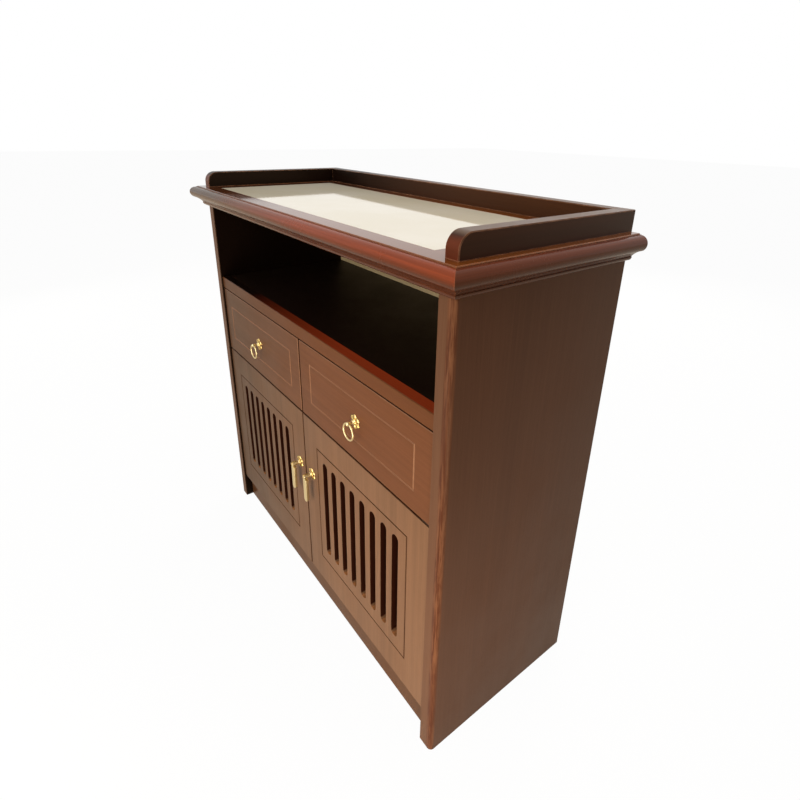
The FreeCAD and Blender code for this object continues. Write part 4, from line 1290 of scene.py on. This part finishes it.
@dataclass
class Top:
    """The top board with its cream panel, the mitred moulding and the gallery."""

    def build(self) -> None:
        """Dresses the top's pieces, with the grain along each of them."""
        across, deep = Grain.ACROSS, Grain.DEEP
        dress(Finishes.TOP, 8, {"top_board": across})
        dress(Finishes.GALLERY, 9, {"gallery_left": deep, "gallery_right": deep})
        dress(Finishes.LIT_BACK_GALLERY, 10, {"gallery_back": across})
        dress(Finishes.MOULDING, 11, {"moulding_front": across})
        dress(Finishes.SHADED_SIDE_MOULDING, 12, {"moulding_left": deep, "moulding_right": deep})
        paint_nodes(Finishes.CREAM.material(), "inset_panel")
        log.info("top: board, panel, three mouldings, three gallery rails")


@dataclass
class Drawer:
    """A drawer: front, box and ring pull."""

    side: Side
    cut_left: float = 14.2
    cut_right: float = 17.6

    def build(self) -> None:
        """Dresses the wood and builds the pull."""
        prefix = f"drawer_{self.side.value}"
        offset = self.cut_left if self.side is Side.LEFT else self.cut_right
        across, deep = Grain.ACROSS, Grain.DEEP
        dress(Finishes.FRONT, offset, {prefix + "_front": across})
        dress(Finishes.BOX, offset + 1, {prefix + "_side_left": deep, prefix + "_side_right": deep,
                                         prefix + "_back": across, prefix + "_bottom": across})
        RingPull(self.side).build()
        log.info("%s: front, box, ring pull", prefix)


@dataclass
class Door:
    """A slotted door with its drop-bar pull."""

    side: Side
    cut_left: float = 20.3
    cut_right: float = 23.9

    def build(self) -> None:
        """Dresses the door and builds the pull."""
        prefix = f"door_{self.side.value}"
        offset = self.cut_left if self.side is Side.LEFT else self.cut_right
        dress(Finishes.DOOR, offset, {prefix + "_panel": Grain.UPRIGHT})
        BarPull(self.side).build()
        log.info("%s: slotted panel, drop-bar pull", prefix)


@dataclass
class Hardware:
    """Steel and plastic fittings: brackets, runners, screws, pins, catch."""

    def build(self) -> None:
        """Dresses the fittings."""
        brackets = [f"pivot_bracket_{side.value}_{end}" for side in Side for end in ("head", "foot")]
        steel = ["wood_screws", "shelf_pins"]
        for side in Side:
            steel += [f"drawer_{side.value}_channels", f"drawer_{side.value}_rails",
                      f"door_{side.value}_strike"]
        paint_nodes(Finishes.ZINC.material(), *steel)
        paint_nodes(Finishes.BLACK_ZINC.material(), *brackets)
        paint_nodes(Finishes.PLASTIC.material(), "door_catch")
        log.info("hardware: %d brackets, %d steel pieces, catch", len(brackets), len(steel))


@dataclass(frozen=True)
class Lamp:
    """A square soft lamp; one that isn't mirrored doesn't show itself in glossy faces."""

    name: str
    place: Triple
    aim: Triple
    size: float
    power: float
    colour: Colour = (1.0, 0.95, 0.88)
    mirrored: bool = True

    def hang(self) -> None:
        """Hangs the lamp and points it."""
        data = bpy.data.lights.new(self.name, "AREA")
        data.shape = "SQUARE"
        data.size = self.size
        data.energy = self.power
        data.color = self.colour
        item = bpy.data.objects.new(self.name, data)
        bpy.context.scene.collection.objects.link(item)
        item.location = self.place
        item.rotation_euler = (Vector(self.aim) - Vector(self.place)).to_track_quat("-Z", "Y").to_euler()
        item.visible_camera = False
        item.visible_glossy = self.mirrored


@dataclass
class Studio:
    """Floor, world, lamps and the camera at the photograph's angle."""

    azimuth: float = 52.03
    elevation: float = 22.03
    roll: float = 1.31
    eye: Triple = (0.8016, -0.51465, 0.9474)
    lens: float = 23.36
    shift: Point = (-0.0135, -0.0784)
    lamps: tuple[Lamp, ...] = (
        Lamp("key", (0.7, -2.5, 1.7), (0, 0, 0.4), 1.8, 38),
        Lamp("low_front", (0.2, -0.95, 0.1), (0.2, -0.15, 0.2), 0.6, 4.6, (1.0, 0.92, 0.8)),
        Lamp("low_side", (0.9, -0.5, 0.06), (0.41, -0.15, 0.1), 0.5, 6.6, (1.0, 0.86, 0.66)),
        Lamp("overhead", (0.3, 0.6, 2.9), (0, 0, 0.8), 2.0, 32, mirrored=False),
        Lamp("back", (-1.3, 2.6, 1.6), (0, 0, 0.5), 1.6, 45, mirrored=False),
        Lamp("left", (-2.6, -0.6, 1.1), (-0.4, 0, 0.4), 1.4, 16, mirrored=False),
    )
    room_light: Colour = (1.0, 0.96, 0.9)
    room_strength: float = 0.12
    floor_size: float = 40
    floor_tones: tuple[Colour, Colour] = ((0.26, 0.26, 0.25), (0.28, 0.28, 0.27))
    floor_seen: Colour = (0.97, 0.97, 0.96)
    floor_glow: float = 0.965
    floor_mirrored: Colour = (0.75, 0.67, 0.56)
    floor_roughness: float = 0.9

    def build(self) -> None:
        """Builds all of it."""
        self.camera()
        self.world()
        self.floor()
        for lamp in self.lamps:
            lamp.hang()
        bpy.context.scene.view_settings.view_transform = "Standard"
        log.info("studio: camera, floor, %d lamps", len(self.lamps))

    def camera(self) -> None:
        """Sets the camera from its azimuth, elevation and roll."""
        turn, tilt, lean = radians(self.azimuth), radians(self.elevation), radians(self.roll)
        forward = Vector((-sin(turn) * cos(tilt), cos(turn) * cos(tilt), -sin(tilt)))
        level = Vector((cos(turn), sin(turn), 0))
        right = cos(lean) * level + sin(lean) * level.cross(forward)
        data = bpy.data.cameras.new("camera")
        data.lens = self.lens
        data.shift_x, data.shift_y = self.shift
        data.clip_start = 0.01
        item = bpy.data.objects.new("camera", data)
        bpy.context.scene.collection.objects.link(item)
        axes = Matrix((right, right.cross(forward), -forward)).transposed().to_4x4()
        item.matrix_world = Matrix.Translation(self.eye) @ axes
        bpy.context.scene.camera = item

    def world(self) -> None:
        """A white surrounding for the camera and for reflections, and a weak plain light."""
        world = bpy.data.worlds.new("studio")
        bpy.context.scene.world = world
        world.use_nodes = True
        graph = Graph(world.node_tree)
        graph.tree.nodes.clear()
        seen, _ = graph.seen()
        plain = graph.add("Background", {"Color": self.room_light, "Strength": self.room_strength})
        white = graph.add("Background", {"Color": (1, 1, 1), "Strength": 1})
        mixed = graph.add("MixShader", {0: seen, 1: plain.outputs[0], 2: white.outputs[0]})
        graph.add("OutputWorld", {0: mixed.outputs[0]})

    def floor(self) -> None:
        """A pale floor that shows nearly white, is mirrored warmer and keeps the cabinet's shadow."""
        form = bmesh.new()
        bmesh.ops.create_grid(form, x_segments=1, y_segments=1, size=self.floor_size / 2)
        piece = new_piece("floor", form)
        pale = Surface("floor_paint")
        mottle = pale.between(pale.noise(pale.place, 3, 3), 0.3, 0.7)
        seen, mirrored = pale.seen()
        colour = pale.blend(seen, pale.blend(mottle, *self.floor_tones), self.floor_seen)
        pale.feed(pale.shader.inputs["Base Color"], colour)
        pale.feed(pale.shader.inputs["Roughness"], self.floor_roughness)
        shown = pale.blend(mirrored, (1, 1, 1), self.floor_mirrored)
        glow = pale.add("Emission", {"Color": shown, "Strength": 1})
        mixed = pale.add("MixShader", {0: pale.times(seen, self.floor_glow), 1: pale.shader.outputs[0],
                                       2: glow.outputs[0]})
        pale.feed(pale.tree.nodes["Material Output"].inputs["Surface"], mixed.outputs[0])
        paint(piece, pale.material)


def main() -> None:
    """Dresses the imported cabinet, builds what it lacks and sets up the studio."""
    logging.basicConfig(level=logging.INFO, format="%(name)s %(message)s")
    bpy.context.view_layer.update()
    for part in (Carcass(), Top(), *(Drawer(side) for side in Side), *(Door(side) for side in Side),
                 Hardware(), Studio()):
        part.build()


if __name__ == "__main__":
    main()
